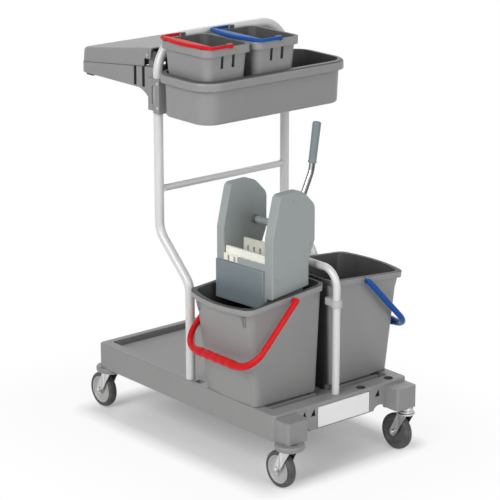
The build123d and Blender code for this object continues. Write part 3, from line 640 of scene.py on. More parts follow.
class TROLLEY_OT_linings(TrolleyOperator):
    """Line the front pockets and the holder's slots with black cups, painted shade in the recesses, and press rubber
    bushes into the tool sockets, their black sleeves painted shade down the bores
    """
    bl_idname = "trolley.linings"
    bl_label = "Recess linings"

    pockets = (-133.0, -101.0, 126.0)
    pocket_height = 178.0
    pocket_mouth = ((-7.4, -9.6), (8.3, -9.6), (3.9, 9.4))
    pocket_depth = 14.0
    pocket_wall = 0.6
    plate_step = 1.6
    slots = {"rear": -192.0, "front": -156.0}
    slot_half = 5.7
    slot_depth = 8.0
    slot_wall = 0.5
    slot_foot = 964.4
    slot_face = 223.5
    seam = (-130.0, 1021.0, 0.1104)  # a place on the lid's lower edge, the height there and the slope
    seam_gap = 0.6
    # A rubber flange on the socket's top and a thin sleeve down its bore; the sleeve's black is painted shade in the
    # bore.
    bush = (
        (0.0, -58.0), (8.9, -58.0), (8.95, 0.05), (11.8, 0.05), (12.4, 0.6), (12.1, 1.4), (10.6, 1.9), (9.3, 1.6),
        (8.75, 0.7), (8.75, -57.4), (0.0, -57.4))

    def execute(self, context):
        colours = context.scene.trolley_colours
        # Black cups that stand in for the shade inside the pockets and slots.
        black = moulded_plastic("lining_black", colours.fitting_black, roughness=0.6)
        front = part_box("blank_plate")[1].x / mm - self.plate_step
        for pocket, place in enumerate(self.pockets):
            mouth = [(front, place + y, self.pocket_height + z) for y, z in self.pocket_mouth]
            cup = lining(mouth, (-self.pocket_depth, 0.0, 0.0), self.pocket_wall)
            settle(cup, f"pocket_lining_{pocket + 1}", "trolley", "black_plastic", black)
        edge, height, slope = self.seam
        for side, hand in zip(both, ("left", "right")):
            for end, place in self.slots.items():
                near, far, foot = place - self.slot_half, place + self.slot_half, self.slot_foot
                top = height + (near - edge) * slope - self.seam_gap
                mouth = [(x, side * self.slot_face, z) for x, z in ((near, foot), (far, foot), (far, top), (near, top))]
                cup = lining(mouth, (0.0, -side * self.slot_depth, 0.0), self.slot_wall)
                settle(cup, f"{hand}_{end}_slot_lining", "trolley", "black_plastic", black)
        rubber = tread_rubber("bush_rubber", colours.fitting_black, dust=0.15)
        for mount in frame["record"]["mounts"]:
            if mount["name"].startswith("tool_socket"):
                bush = gathered((spun(self.bush, steps=48), [Matrix.Translation(mount["pos_m"])]))
                settle(bush, f"{mount['name']}_bush", "trolley", "bumper_rubber", rubber)
        return {"FINISHED"}


class TROLLEY_OT_tube_frame(TrolleyOperator):
    """Finish the bent tubes and the clip on the arch"""
    bl_idname = "trolley.tube_frame"
    bl_label = "Tube frame"

    def execute(self, context):
        colours = context.scene.trolley_colours
        dress(powder_coat("tube_paint", colours.tube_pale), "upright_frame", "cross_bar", "bucket_arch")
        dress(moulded_plastic("clip_grey", colours.clip_grey, roughness=0.5), "arch_clip")
        return {"FINISHED"}


class TROLLEY_OT_welds(TrolleyOperator):
    """Lay the rippled weld beads where the cross bar meets the uprights"""
    bl_idname = "trolley.welds"
    bl_label = "Weld beads"

    bead = ((8.6, -1.2), (10.4, -1.0), (11.6, 0.1), (10.9, 1.5), (9.6, 2.5), (8.6, 2.7))
    ripples = 22
    ripple_share = 0.05
    upright_place = 219.0
    tube_radius = 12.5
    saddle_reach = 9.0

    def execute(self, context):
        bead = spun(self.bead, steps=132, closed=True)
        radius = self.tube_radius * mm
        for vert in bead.verts:
            around = math.atan2(vert.co.y, vert.co.x)
            vert.co.xy *= 1.0 + self.ripple_share * math.sin(around * self.ripples)
            vert.co.z -= radius - math.sqrt(radius ** 2 - min(abs(vert.co.x), self.saddle_reach * mm) ** 2)
        bar = middle_of("cross_bar")
        reach = (self.upright_place - self.tube_radius) * mm
        turn = Matrix.Rotation(quarter_turn, 4, "Z")
        places = [
            Matrix.Translation((bar.x, side * reach, bar.z)) @ Matrix.Rotation(side * quarter_turn, 4, "X") @ turn
            for side in both]
        material = powder_coat("weld_paint", context.scene.trolley_colours.tube_pale)
        settle(gathered((bead, places)), "weld_beads", "trolley", "silver_tube", material)
        return {"FINISHED"}


class TROLLEY_OT_tool_tray(TrolleyOperator):
    """Finish the tool tray and its clamps, and fit domed screws in the clamps"""
    bl_idname = "trolley.tool_tray"
    bl_label = "Tool tray"

    screw_head = 4.5
    screw_dome = 2.0
    screw_key = 1.8
    shank = ((0.0, -9.0), (2.4, -9.0), (2.4, 0.0), (0.0, 0.0))

    def execute(self, context):
        colours = context.scene.trolley_colours
        # Painted shade inside the tray, darker with depth.
        inside_shade = ("upper_tray", 0.09, 0.0, 0.14)
        dress(moulded_plastic("tray_grey", colours.moulded_grey, roughness=0.36, inside=inside_shade), "upper_tray")
        dress(moulded_plastic("clamp_grey", colours.moulded_grey), "left_tray_clamp", "right_tray_clamp")
        low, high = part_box("clamp_screws")
        middle = middle_of("clamp_screws")
        radius, dome = self.screw_head * mm, self.screw_dome * mm
        places = [
            facing((middle.x, seat, z), (0.0, side, 0.0))
            for side, seat in zip(both, (low.y + dome, high.y - dome)) for z in (low.z + radius, high.z - radius)]
        head = socket_screw(self.screw_head, self.screw_dome, self.screw_key)
        screws = gathered((head, places), (spun(self.shank, steps=24), places))
        zinc = plated_steel("clamp_screw_zinc", colours.bare_zinc, roughness=0.3)
        settle(screws, "clamp_socket_screws", "trolley", "zinc_steel", zinc, "clamp_screws")
        return {"FINISHED"}


class TROLLEY_OT_bag_holder(TrolleyOperator):
    """Finish the bag holder, its lid, pins and catch"""
    bl_idname = "trolley.bag_holder"
    bl_label = "Bag holder"

    def execute(self, context):
        colours = context.scene.trolley_colours
        dress(moulded_plastic("holder_grey", colours.moulded_grey), "bag_holder")
        # The lid's top carries a painted shade.
        dress(moulded_plastic("lid_grey", colours.moulded_grey, roughness=0.4, top_painted_shade=colours.lid_top_painted_shade), "lid")
        dress(plated_steel("hinge_zinc", colours.bare_zinc, roughness=0.28), "hinge_pins")
        dress(moulded_plastic("catch_black", colours.fitting_black, roughness=0.45), "bag_catch")
        return {"FINISHED"}


class TROLLEY_OT_lid_seals(TrolleyOperator):
    """Close the lid's hinge side: a dark rib inside the lid and a black lip on the holder's front edge, their dark
    colours painted shade
    """
    bl_idname = "trolley.lid_seals"
    bl_label = "Lid seals"

    rib_place = -176.0
    rib_width = 3.0
    rib_half = ((216.8, 1017.2), (214.4, 1050.0), (207.0, 1057.4), (193.0, 1058.6))
    lip = ((-113.2, 1004.0), (-110.4, 1004.0), (-109.0, 1006.0), (-107.2, 1043.0), (-107.8, 1044.2), (-108.8, 1043.4),
           (-110.6, 1011.0), (-113.2, 1010.0))
    lip_half = 186.0

    def execute(self, context):
        colours = context.scene.trolley_colours
        outline = [*self.rib_half, *((-y, z) for y, z in reversed(self.rib_half))]
        rib = slab([(self.rib_place, y, z) for y, z in outline], (self.rib_width, 0.0, 0.0))
        # The rib is coloured dark as painted shade inside the lid.
        settle(soften(rib, 0.4), "lid_cross_rib", "lid_body", "black_plastic",
               moulded_plastic("rib_dark", scaled(colours.moulded_grey, 0.3), roughness=0.55))
        lip = slab([(x, -self.lip_half, z) for x, z in self.lip], (0.0, 2.0 * self.lip_half, 0.0))
        # The lip is black as painted shade along the hinge side.
        settle(soften(lip, 0.3), "lid_lip_seal", "trolley", "bumper_rubber",
               tread_rubber("seal_rubber", colours.fitting_black, dust=0.1))
        return {"FINISHED"}


class TROLLEY_OT_mop_buckets(TrolleyOperator):
    """Mould the two mop buckets: a foot in the well, a bowed tub and a flanged rim that slopes outwards"""
    bl_idname = "trolley.mop_buckets"
    bl_label = "Mop buckets"

    rim_slope = 0.0853
    rim_start = (14.0, 496.0)  # reach and height of the rim's inner edge
    skirt = 16.0
    wall = 3.0
    flange = 9.0
    inner_flange = 1.5
    corner = 17.0
    bow_steps = 10
    # levels of the wall: height, half width, inner reach, outer reach, bow
    foot = (180.2, 88.0, 26.0, 196.0, 0.0)
    foot_top = 193.0
    shoulder = (200.8, 106.0, 23.0, 229.0, 5.0)
    top = (510.0, 114.5, 16.0, 262.0, 27.0)
    floor = 205.0
    boss = ((4.3, 0.0), (11.0, 0.0), (11.0, 3.4), (10.4, 4.0), (4.8, 4.0), (4.3, 3.5))
    boss_foot = 121.4
    # Depth and level of the painted shade inside each tub.
    shade_depth = 0.07
    shade_level = 0.03
    paler = 1.08

    def outline(self, level, grow=0.0, inner_grow=None):
        """The tub's corners at a level (height, half width, inner reach, outer reach, bow), its outer side bowed."""
        z, half, inner, outer, bow = level
        half += grow
        inner -= grow if inner_grow is None else inner_grow
        outer += grow
        sides = [1.0 - 2.0 * step / self.bow_steps for step in range(self.bow_steps + 1)]
        bowed = [Vector((half * share, outer + bow * (1.0 - share * share), z)) for share in sides]
        return [Vector((-half, inner, z)), Vector((half, inner, z))] + bowed

    def on_rim(self, drop, grow, inner_grow):
        """The wall's corners where it meets the sloping rim, or a plane a drop below it."""
        met = []
        for low, high in zip(self.outline(self.shoulder, grow, inner_grow), self.outline(self.top, grow, inner_grow)):
            rise = self.rim_start[1] - drop - low.z - self.rim_slope * (low.y - self.rim_start[0])
            share = rise / (high.z - low.z + self.rim_slope * (high.y - low.y))
            met.append(low.lerp(high, share))
        return met

    def tub(self):
        """One bucket in millimetres about the middle of its inner side, reaching along Y."""
        foot_top = (self.foot_top, *self.foot[1:])
        floor = (self.floor, *self.shoulder[1:])
        levels = [
            self.outline(self.foot), self.outline(foot_top), self.outline(self.shoulder),
            self.on_rim(self.skirt, 0.0, 0.0), self.on_rim(self.skirt, self.flange, self.inner_flange),
            self.on_rim(0.0, self.flange, self.inner_flange), self.on_rim(0.0, -self.wall, -self.wall),
            self.outline(floor, -self.wall)]
        shape = bmesh.new()
        ring = [shape.verts.new(place * mm) for place in levels[0]]
        shape.faces.new(ring)
        uprights = []
        for level in levels[1:]:
            edges = [shape.edges.get(pair) for pair in zip(ring, ring[1:] + ring[:1])]
            grown = set(bmesh.ops.extrude_edge_only(shape, edges=edges)["geom"])
            rising = [next(edge for edge in vert.link_edges if edge.other_vert(vert) in grown) for vert in ring]
            ring = [edge.other_vert(vert) for edge, vert in zip(rising, ring)]
            for vert, place in zip(ring, level):
                vert.co = place * mm
            uprights += [rising[0], rising[1], rising[2], rising[-1]]
        shape.faces.new(ring)
        return soften(rounded_off(faced_out(shape), uprights, self.corner, 6), 1.2)

    def execute(self, context):
        colours = context.scene.trolley_colours
        for colour, side in bucket_sides.items():
            node = f"{colour}_bucket"
            stand = Matrix.Translation((middle_of(node).x, 0.0, 0.0)) @ Matrix.Diagonal((side, side, 1.0, 1.0))
            # Painted shade: the tub's inside darkens with depth, and its side towards the other bucket is darkened.
            inside_shade = (node, self.shade_depth, -side * self.rim_slope, self.shade_level)
            shade = scaled(colours.moulded_grey, self.paler)
            grey = moulded_plastic(f"{node}_grey", shade, inside=inside_shade, shaded_side=-side)
            pivot = Vector(joints[f"{colour}_bail_swing"]["pos_m"])
            bosses = [
                facing(pivot + Vector((end * self.boss_foot * mm, 0.0, 0.0)), (end, 0.0, 0.0)) for end in both]
            tub = gathered((self.tub(), [stand]), (spun(self.boss, steps=48, closed=True), bosses))
            settle(tub, f"{colour}_moulded_tub", f"{colour}_bucket_body", "grey_plastic", grey, node)
        return {"FINISHED"}


class TROLLEY_OT_bails(TrolleyOperator):
    """Bend the two big bails, with finger bumps on their grips and pins in the bucket bosses"""
    bl_idname = "trolley.bails"
    bl_label = "Bucket bails"

    arm_place = 139.0
    arm_length = 158.0
    arm_radius = 8.0
    arm_foot = -7.6
    foot_radius = 2.4
    foot_rings = ((1.3, 5.2), (2.6, 7.2), (3.7, arm_radius))  # rise and radius
    bend_radius = 60.0
    bend_steps = 12
    grip_radius = 10.3
    bump_height = 1.9
    bump_pitch = 31.6
    bump_steps = 8
    bump_round = 0.7
    drop = math.radians(46.0)
    pin = ((0.0, 0.0), (3.9, 0.0), (3.9, 3.4), (6.2, 3.4), (6.8, 4.0), (6.8, 16.0), (0.0, 16.0))
    pin_foot = 122.8

    def rings(self):
        """The (move, radius) of each ring of half a bail, from its foot to its middle."""
        for rise, radius in (*self.foot_rings, (self.arm_length, self.arm_radius)):
            yield Matrix.Translation((0.0, rise * mm, 0.0)), radius
        corner = Vector((self.bend_radius - self.arm_place, self.arm_length, 0.0)) * mm
        turn = turned_about(corner, -quarter_turn / self.bend_steps, "Z")
        for step in range(1, self.bend_steps + 1):
            yield turn, self.arm_radius + (self.grip_radius - self.arm_radius) * step / self.bend_steps
        stride = self.bump_pitch / self.bump_steps
        for step in range(1, round((self.arm_place - self.bend_radius) / stride) + 1):
            swell = abs(math.sin(math.pi * step / self.bump_steps)) ** self.bump_round
            yield Matrix.Translation((stride * mm, 0.0, 0.0)), self.grip_radius + self.bump_height * swell

    def loop(self):
        """A bail in millimetres, pivoting about the X axis and reaching along Y."""
        foot = Vector((-self.arm_place, self.arm_foot, 0.0)) * mm
        shape = disc(32, self.foot_radius, facing(foot, (0.0, 1.0, 0.0)))
        ring, before = shape.edges[:], self.foot_radius
        for move, radius in self.rings():
            ring, before = next_ring(shape, ring, move, radius / before), radius
        return doubled(shape, "X", 0.05)

    def execute(self, context):
        colours = context.scene.trolley_colours
        fall, reach = math.sin(self.drop), math.cos(self.drop)
        for colour, side in bucket_sides.items():
            node = f"{colour}_bail"
            pivot = Vector(joints[f"{node}_swing"]["pos_m"])
            pivot.x = middle_of(node).x
            swing = standing(pivot, (1.0, 0.0, 0.0), (0.0, side * reach, -fall), (0.0, fall, side * reach))
            pins = [swing @ facing((end * self.pin_foot * mm, 0.0, 0.0), (end, 0.0, 0.0)) for end in both]
            bail = gathered((self.loop(), [swing]), (spun(self.pin, steps=36), pins))
            settle(bail, f"{colour}_bent_bail", f"{colour}_bail_body", f"{colour}_plastic",
                   gloss_plastic(f"bail_{colour}", getattr(colours, f"bail_{colour}")), node)
        return {"FINISHED"}


class TROLLEY_OT_rim_webs(TrolleyOperator):
    """Mould pairs of thin webs under the bucket rims beside the corners"""
    bl_idname = "trolley.rim_webs"
    bl_label = "Rim webs"

    web = ((-3.0, 2.0), (6.0, 2.0), (6.0, -2.0), (0.6, -26.0), (-3.0, -26.0))
    thickness = 2.2
    pair_place = 93.0
    pair_half = 2.7
    height = 449.0
    search_from = 400.0

    def execute(self, context):
        grey = moulded_plastic("web_grey", context.scene.trolley_colours.moulded_grey)
        context.view_layer.update()
        for colour, side in bucket_sides.items():
            tub = bpy.data.objects[f"{colour}_moulded_tub"]
            middle = Vector((middle_of(f"{colour}_bucket").x, 0.0, 0.0))
            places = []
            for end in both:
                for step in both:
                    along = end * (self.pair_place + step * self.pair_half)
                    start = middle + Vector((along, side * self.search_from, self.height)) * mm
                    found, place, normal, _ = tub.ray_cast(start, (0.0, -side, 0.0))
                    if not found:
                        raise RuntimeError(f"no wall of the {colour} bucket for a web")
                    outward = Vector((normal.x, normal.y, 0.0)).normalized()
                    places.append(standing(place, outward, upward.cross(outward)))
            web = slab([(x, -self.thickness / 2.0, z) for x, z in self.web], (0.0, self.thickness, 0.0))
            settle(gathered((soften(web, 0.5), places)), f"{colour}_rim_webs", f"{colour}_bucket_body",
                   "grey_plastic", grey)
        return {"FINISHED"}


class TROLLEY_OT_small_pails(TrolleyOperator):
    """Finish the two small pails and mould their bails, with a crowned grip that rests on the rim"""
    bl_idname = "trolley.small_pails"
    bl_label = "Small pails"

    arms = (100.0, 106.0)
    arm_ends = (-62.0, 1.0)
    foot = -3.1
    brow = 1.0
    crown = 5.7
    crown_inset = 3.4
    grip_ends = (-66.0, -58.0)
    grip_middle = (-85.0, -53.0)
    grip_steps = 14
    eye = ((0.0, -7.0), (2.9, -7.0), (2.9, 0.0), (5.4, 0.0), (5.9, 0.5), (5.9, 5.4), (5.0, 6.2), (0.0, 6.4))

    def grip(self):
        """The lens-shaped grip in millimetres from the pivot's middle."""
        shares = [2.0 * step / self.grip_steps - 1.0 for step in range(self.grip_steps + 1)]
        back, front = [
            [(self.arms[1] * share, middle + (end - middle) * share ** 2, self.foot) for share in shares]
            for end, middle in zip(self.grip_ends, self.grip_middle)]
        shape = slab(back + front[::-1], (0.0, 0.0, self.brow - self.foot))
        top = max(shape.faces, key=lambda face: face.calc_center_median().z)
        bmesh.ops.inset_region(
            shape, faces=[top], thickness=self.crown_inset * mm, depth=(self.crown - self.brow) * mm,
            use_even_offset=True)
        return soften(shape, 1.6, 3)

    def arm(self, side):
        """An arm along one side of the pail."""
        start, end = self.arm_ends
        near, far = (side * reach for reach in self.arms)
        outline = [(x, y, self.foot) for x, y in ((near, start), (near, end), (far, end), (far, start))]
        return soften(slab(outline, (0.0, 0.0, self.crown - self.foot)), 1.8, 3)

    def execute(self, context):
        colours = context.scene.trolley_colours
        for colour in bucket_sides:
            pail, bail = f"small_{colour}_pail", f"small_{colour}_bail"
            # Painted shade inside the pail, darker with depth.
            inside_shade = (pail, 0.10, 0.0, 0.22)
            dress(moulded_plastic(f"{pail}_grey", colours.moulded_grey, inside=inside_shade), pail)
            pivot = Matrix.Translation(joints[f"{bail}_swing"]["pos_m"])
            eyes = [pivot @ facing((end * self.arms[0] * mm, 0.0, 0.0), (end, 0.0, 0.0)) for end in both]
            bows = [(shape, [pivot]) for shape in (self.grip(), *(self.arm(side) for side in both))]
            gloss = gloss_plastic(f"small_bail_{colour}", getattr(colours, f"bail_{colour}"), roughness=0.42)
            settle(gathered(*bows, (spun(self.eye, steps=32), eyes)), f"small_{colour}_moulded_bail", f"{bail}_body",
                   f"{colour}_plastic", gloss, bail)
        return {"FINISHED"}


class TROLLEY_OT_press(TrolleyOperator):
    """Finish the press: body, ears, jaws, racks and pinions, and fit a splash panel on its front wall"""
    bl_idname = "trolley.press"
    bl_label = "Press"

    shaft_behind = 36.0
    # Below this height the press is painted darker, a painted shade in its lower chamber.
    shade_line = 0.476  # metres above the floor
    panel_reach = (-101.0, 73.4)
    panel_heights = (448.4, 553.0)
    panel_depths = (-78.1, -84.5)
    panel_edge = 5.0

    def panel(self):
        """The panel in millimetres along, before and above the press's own middle."""
        low, high = self.panel_heights
        back, front = self.panel_depths
        left, right = self.panel_reach
        outline = [(x, back, z) for x, z in ((left, low), (right, low), (right, high), (left, high))]
        shape = slab(outline, (0.0, front - back, 0.0))
        show = min(shape.faces, key=lambda face: face.calc_center_median().y)
        return rounded_off(shape, show.edges[:], self.panel_edge, 5)

    def execute(self, context):
        colours = context.scene.trolley_colours
        grey = moulded_plastic("press_grey", colours.press_grey, roughness=0.46, shaded_below=self.shade_line)
        dress(grey, "press_body", "left_ear_cover", "right_ear_cover", "cover_screws")
        shaft, along, across = press_shaft()
        middle = (shaft - across * self.shaft_behind * mm) * Vector((1.0, 1.0, 0.0))
        settle(gathered((self.panel(), [standing(middle, along, across)])), "splash_panel", "press", "press_plastic",
               moulded_plastic("panel_blue_grey", colours.panel_blue, roughness=0.42))
        dress(moulded_plastic("jaw_cream", colours.jaw_cream, roughness=0.4), "front_jaw", "rear_jaw")
        cream = moulded_plastic("rack_cream", colours.jaw_cream, roughness=0.4)
        dress(cream, "left_rack", "right_rack", "left_pinion", "right_pinion")
        return {"FINISHED"}


class TROLLEY_OT_lever(TrolleyOperator):
    """Finish the shaft and its collars, sleeve the shaft, bend the lever's tube and mould its grip"""
    bl_idname = "trolley.lever"
    bl_label = "Lever"

    lever_place = 58.0
    hub = ((7.05, -9.0), (14.2, -9.0), (15.0, -8.2), (15.0, 8.2), (14.2, 9.0), (7.05, 9.0))
    sleeve = ((7.05, -66.8), (9.2, -66.8), (9.6, -66.2), (9.6, 48.2), (9.2, 48.8), (7.05, 48.8))
    root = Vector((0.0, 4.5, 8.5))
    bend = Vector((0.0, 72.0, 139.0))
    tip = Vector((0.0, 92.0, 264.0))
    bend_radius = 70.0
    bend_steps = 10
    tube_radius = 8.0
    # Dark reflections are painted on the tube on either side of this direction.
    stripes = (0.643, 0.766)  # direction along X and Y
    grip_length = 108.0
    grip_dome = ((0.0, -0.8), (3.0, -0.6), (3.4, -0.05), (6.0, -0.15), (8.6, -1.0), (10.4, -2.8), (11.2, -5.4))
    grip_taper = (11.3, 10.4)
    grip_reach = (-8.4, -102.0)
    grip_steps = 6
    grip_collar = ((10.7, -103.2), (11.4, -104.2), (11.5, -105.6), (11.4, -107.2), (10.4, -108.0), (8.02, -108.0))
    grip_bore = ((8.02, -4.0), (0.0, -4.0))

    def tube(self):
        """The bent tube in millimetres along, behind and above the shaft's middle."""
        first = (self.bend - self.root).normalized()
        second = (self.tip - self.bend).normalized()
        turn = first.angle(second)
        tangent = self.bend_radius * math.tan(turn / 2.0)
        start = self.bend - first * tangent
        middle = (start + Vector((0.0, -first.z, first.y)) * self.bend_radius) * mm
        shape = disc(48, self.tube_radius, facing(self.root * mm, first))
        ring = next_ring(shape, shape.edges[:], Matrix.Translation((start - self.root) * mm))
        for _ in range(self.bend_steps):
            ring = next_ring(shape, ring, turned_about(middle, turn / self.bend_steps, "X"))
        ring = next_ring(shape, ring, Matrix.Translation((self.tip - self.bend - second * tangent) * mm))
        bmesh.ops.contextual_create(shape, geom=ring)
        return faced_out(shape)

    def grip(self):
        """The grip in millimetres below its top: a dome, a taper, a collar and a closed bore."""
        shares = [step / self.grip_steps for step in range(self.grip_steps + 1)]
        taper = [
            [start + (end - start) * share for share in shares] for start, end in (self.grip_taper, self.grip_reach)]
        return spun([*self.grip_dome, *zip(*taper), *self.grip_collar, *self.grip_bore], steps=56)

    def execute(self, context):
        colours = context.scene.trolley_colours
        dress(plated_steel("shaft_zinc", colours.bare_zinc, roughness=0.25), "press_shaft")
        dress(moulded_plastic("collar_grey", scaled(colours.press_grey, 0.35), roughness=0.5), "shaft_collars")
        shaft, along, across = press_shaft()
        settle(gathered((spun(self.sleeve, steps=48, closed=True), [facing(shaft, along)])), "shaft_sleeve", "lever",
               "press_plastic", moulded_plastic("sleeve_grey", colours.press_grey, roughness=0.4))
        stand = standing(shaft + along * self.lever_place * mm, along, across)
        hub = spun(self.hub, steps=56, closed=True)
        # The lever's chrome is a darker copy of the bright chrome, with painted reflections.
        chrome = plated_steel(
            "lever_chrome", scaled(colours.bright_chrome, 0.85), roughness=0.1, spangle=0.01, stripes=self.stripes)
        settle(gathered((self.tube(), [stand]), (hub, [facing(stand.translation, along)])), "lever_bent_tube", "lever",
               "chrome_steel", chrome, "lever_tube")
        lean = stand.to_3x3() @ (self.tip - self.bend).normalized()
        top = middle_of("lever_grip") + lean * self.grip_length / 2.0 * mm
        settle(gathered((self.grip(), [facing(top, lean)])), "lever_sleeve_grip", "lever", "grip_plastic",
               moulded_plastic("grip_grey", colours.grip_grey, roughness=0.42), "lever_grip")
        return {"FINISHED"}


class TROLLEY_OT_castors(TrolleyOperator):
    """Turn the castor heads, press the forks and fit the axle bolts"""
    bl_idname = "trolley.castors"
    bl_label = "Castors"

    trail = 34.0
    axle_height = 50.0
    eye_radius = 11.0
    eye_steps = 18
    crown_height = 109.6
    crown_overlap = 1.0
    shoulder = 16.5
    leg_place = 14.5
    leg_wall = 2.5
    leg_rim = 2.4
    leg_press = 0.7
    head = (
        (0.0, 103.6), (7.4, 103.6), (8.8, 105.0), (8.8, 109.2), (6.0, 109.4), (6.0, 113.9), (20.2, 113.9),
        (21.0, 114.7), (21.0, 116.4), (20.2, 116.9), (21.0, 117.4), (21.0, 118.9), (20.0, 119.8), (17.2, 120.0),
        (16.0, 121.2), (16.0, 123.8), (18.2, 124.6), (18.6, 125.6), (18.2, 126.8), (16.4, 127.4), (16.4, 129.8),
        (6.0, 129.8), (6.0, 165.0), (0.0, 165.0))
    crown = (
        (6.3, 109.7), (19.6, 109.7), (21.0, 108.7), (23.0, 108.7), (24.0, 109.7), (24.0, 112.2), (22.8, 113.4),
        (10.0, 113.5), (6.3, 113.5))
    washer = ((4.0, 17.0), (8.4, 17.0), (8.8, 17.4), (8.8, 18.0), (8.4, 18.4), (4.0, 18.4))
    rod = ((0.0, -23.0), (3.2, -23.0), (3.95, -22.4), (3.95, 22.4), (3.2, 23.0), (0.0, 23.0))
    nut = (7.0, 18.4, 22.0, 0.5)  # radius, inner end, outer end, rounding

    def legs(self):
        """The two pressed sides of a fork, with raised rims; the stem is at the origin and the axle behind it."""
        shape = bmesh.new()
        turn = []
        for corner, sense in ((self.shoulder, -1.0), (-self.shoulder, 1.0)):
            reach = Vector((corner + self.trail, self.crown_height - self.axle_height))
            turn.append(math.atan2(reach.y, reach.x) + sense * math.acos(self.eye_radius / reach.length))
        axle = Vector((-self.trail, self.leg_place, self.axle_height)) * mm
        start = shape.verts.new(axle + Vector((math.cos(turn[0]), 0.0, math.sin(turn[0]))) * self.eye_radius * mm)
        bmesh.ops.spin(shape, geom=[start], cent=axle, axis=(0.0, 1.0, 0.0), dvec=(0.0, 0.0, 0.0),
                       angle=full_turn - turn[1] + turn[0], steps=self.eye_steps)
        for x in (-self.shoulder, self.shoulder):
            shape.verts.new(Vector((x, self.leg_place, self.crown_height + self.crown_overlap)) * mm)
        shape.verts.ensure_lookup_table()
        raised(shape, [shape.faces.new(shape.verts[:])], (0.0, self.leg_wall, 0.0))
        faced_out(shape)
        outer = max(shape.faces, key=lambda face: face.calc_center_median().y)
        bmesh.ops.inset_region(
            shape, faces=[outer], thickness=self.leg_rim * mm, depth=-self.leg_press * mm, use_even_offset=True)
        return doubled(soften(shape, 0.5), "Y", 0.001)

    def execute(self, context):
        colours = context.scene.trolley_colours
        # The castor chrome carries painted reflections in dark streaks.
        chrome = plated_steel("castor_chrome", colours.bright_chrome, roughness=0.12, streak=0.35)
        zinc = plated_steel("axle_zinc", colours.bare_zinc, roughness=0.26)
        for corner in corners:
            stem = Vector(joints[f"{corner}_swivel_turn"]["pos_m"])
            stand = [Matrix.Translation((stem.x, stem.y, 0.0))]
            head = gathered((spun(self.head, steps=64), stand))
            settle(head, f"{corner}_swivel_head", "trolley", "chrome_steel", chrome, f"{corner}_castor_head")
            fork = gathered((self.legs(), stand), (spun(self.crown, steps=64, closed=True), stand))
            settle(fork, f"{corner}_pressed_fork", f"{corner}_swivel", "chrome_steel", chrome, f"{corner}_fork")
            axle = middle_of(f"{corner}_axle")
            ends = [facing(axle, (0.0, end, 0.0)) for end in both]
            washer, rod = spun(self.washer, steps=40, closed=True), spun(self.rod, steps=32)
            bolt = gathered((washer, ends), (hexagon(*self.nut), ends), (rod, ends[:1]))
            settle(bolt, f"{corner}_axle_bolt", f"{corner}_swivel", "zinc_steel", zinc, f"{corner}_axle")
        return {"FINISHED"}


class TROLLEY_OT_wheels(TrolleyOperator):
    """Turn the dished hubs and the grooved tyres"""
    bl_idname = "trolley.wheels"
    bl_label = "Wheels"

    tyre_side = (
        (38.0, 11.2), (39.2, 12.2), (41.0, 12.5), (42.2, 12.0), (42.8, 11.4), (44.6, 11.3), (46.6, 10.6), (48.3, 8.9),
        (49.3, 6.4), (49.55, 5.2), (49.0, 4.8), (49.0, 4.2), (49.75, 3.8), (50.0, 1.6), (49.95, 0.35), (50.0, 0.2))
    hub_side = (
        (4.2, 13.4), (8.6, 13.4), (9.6, 12.8), (10.2, 11.4), (10.6, 8.6), (12.0, 7.6), (17.0, 7.0), (24.5, 6.8),
        (25.2, 7.6), (26.4, 7.6), (27.1, 6.8), (31.0, 7.2), (32.4, 9.0), (33.4, 10.6), (34.4, 11.2), (37.2, 11.3),
        (38.0, 10.9))

    def both_sides(self, side):
        """A wheel's closed profile from that of one side."""
        return list(side) + [(radius, -height) for radius, height in reversed(side)]

    def execute(self, context):
        colours = context.scene.trolley_colours
        rubber = tread_rubber("tyre_rubber", colours.tyre_grey, dust=0.3)
        hubs = {
            "left": (moulded_plastic("hub_pale", colours.hub_pale, roughness=0.38), "hub_plastic"),
            "right": (moulded_plastic("hub_dark", colours.hub_dark, roughness=0.42), "dark_hub"),
        }
        for corner in corners:
            stand = [facing(middle_of(f"{corner}_tyre"), (0.0, -1.0, 0.0))]
            tyre = gathered((spun(self.both_sides(self.tyre_side), steps=128, closed=True), stand))
            settle(tyre, f"{corner}_grooved_tyre", f"{corner}_wheel", "tyre_rubber", rubber, f"{corner}_tyre")
            material, slot = hubs[corner.split("_")[1]]
            hub = gathered((spun(self.both_sides(self.hub_side), steps=96, closed=True), stand))
            settle(hub, f"{corner}_dished_hub", f"{corner}_wheel", slot, material, f"{corner}_hub")
        return {"FINISHED"}


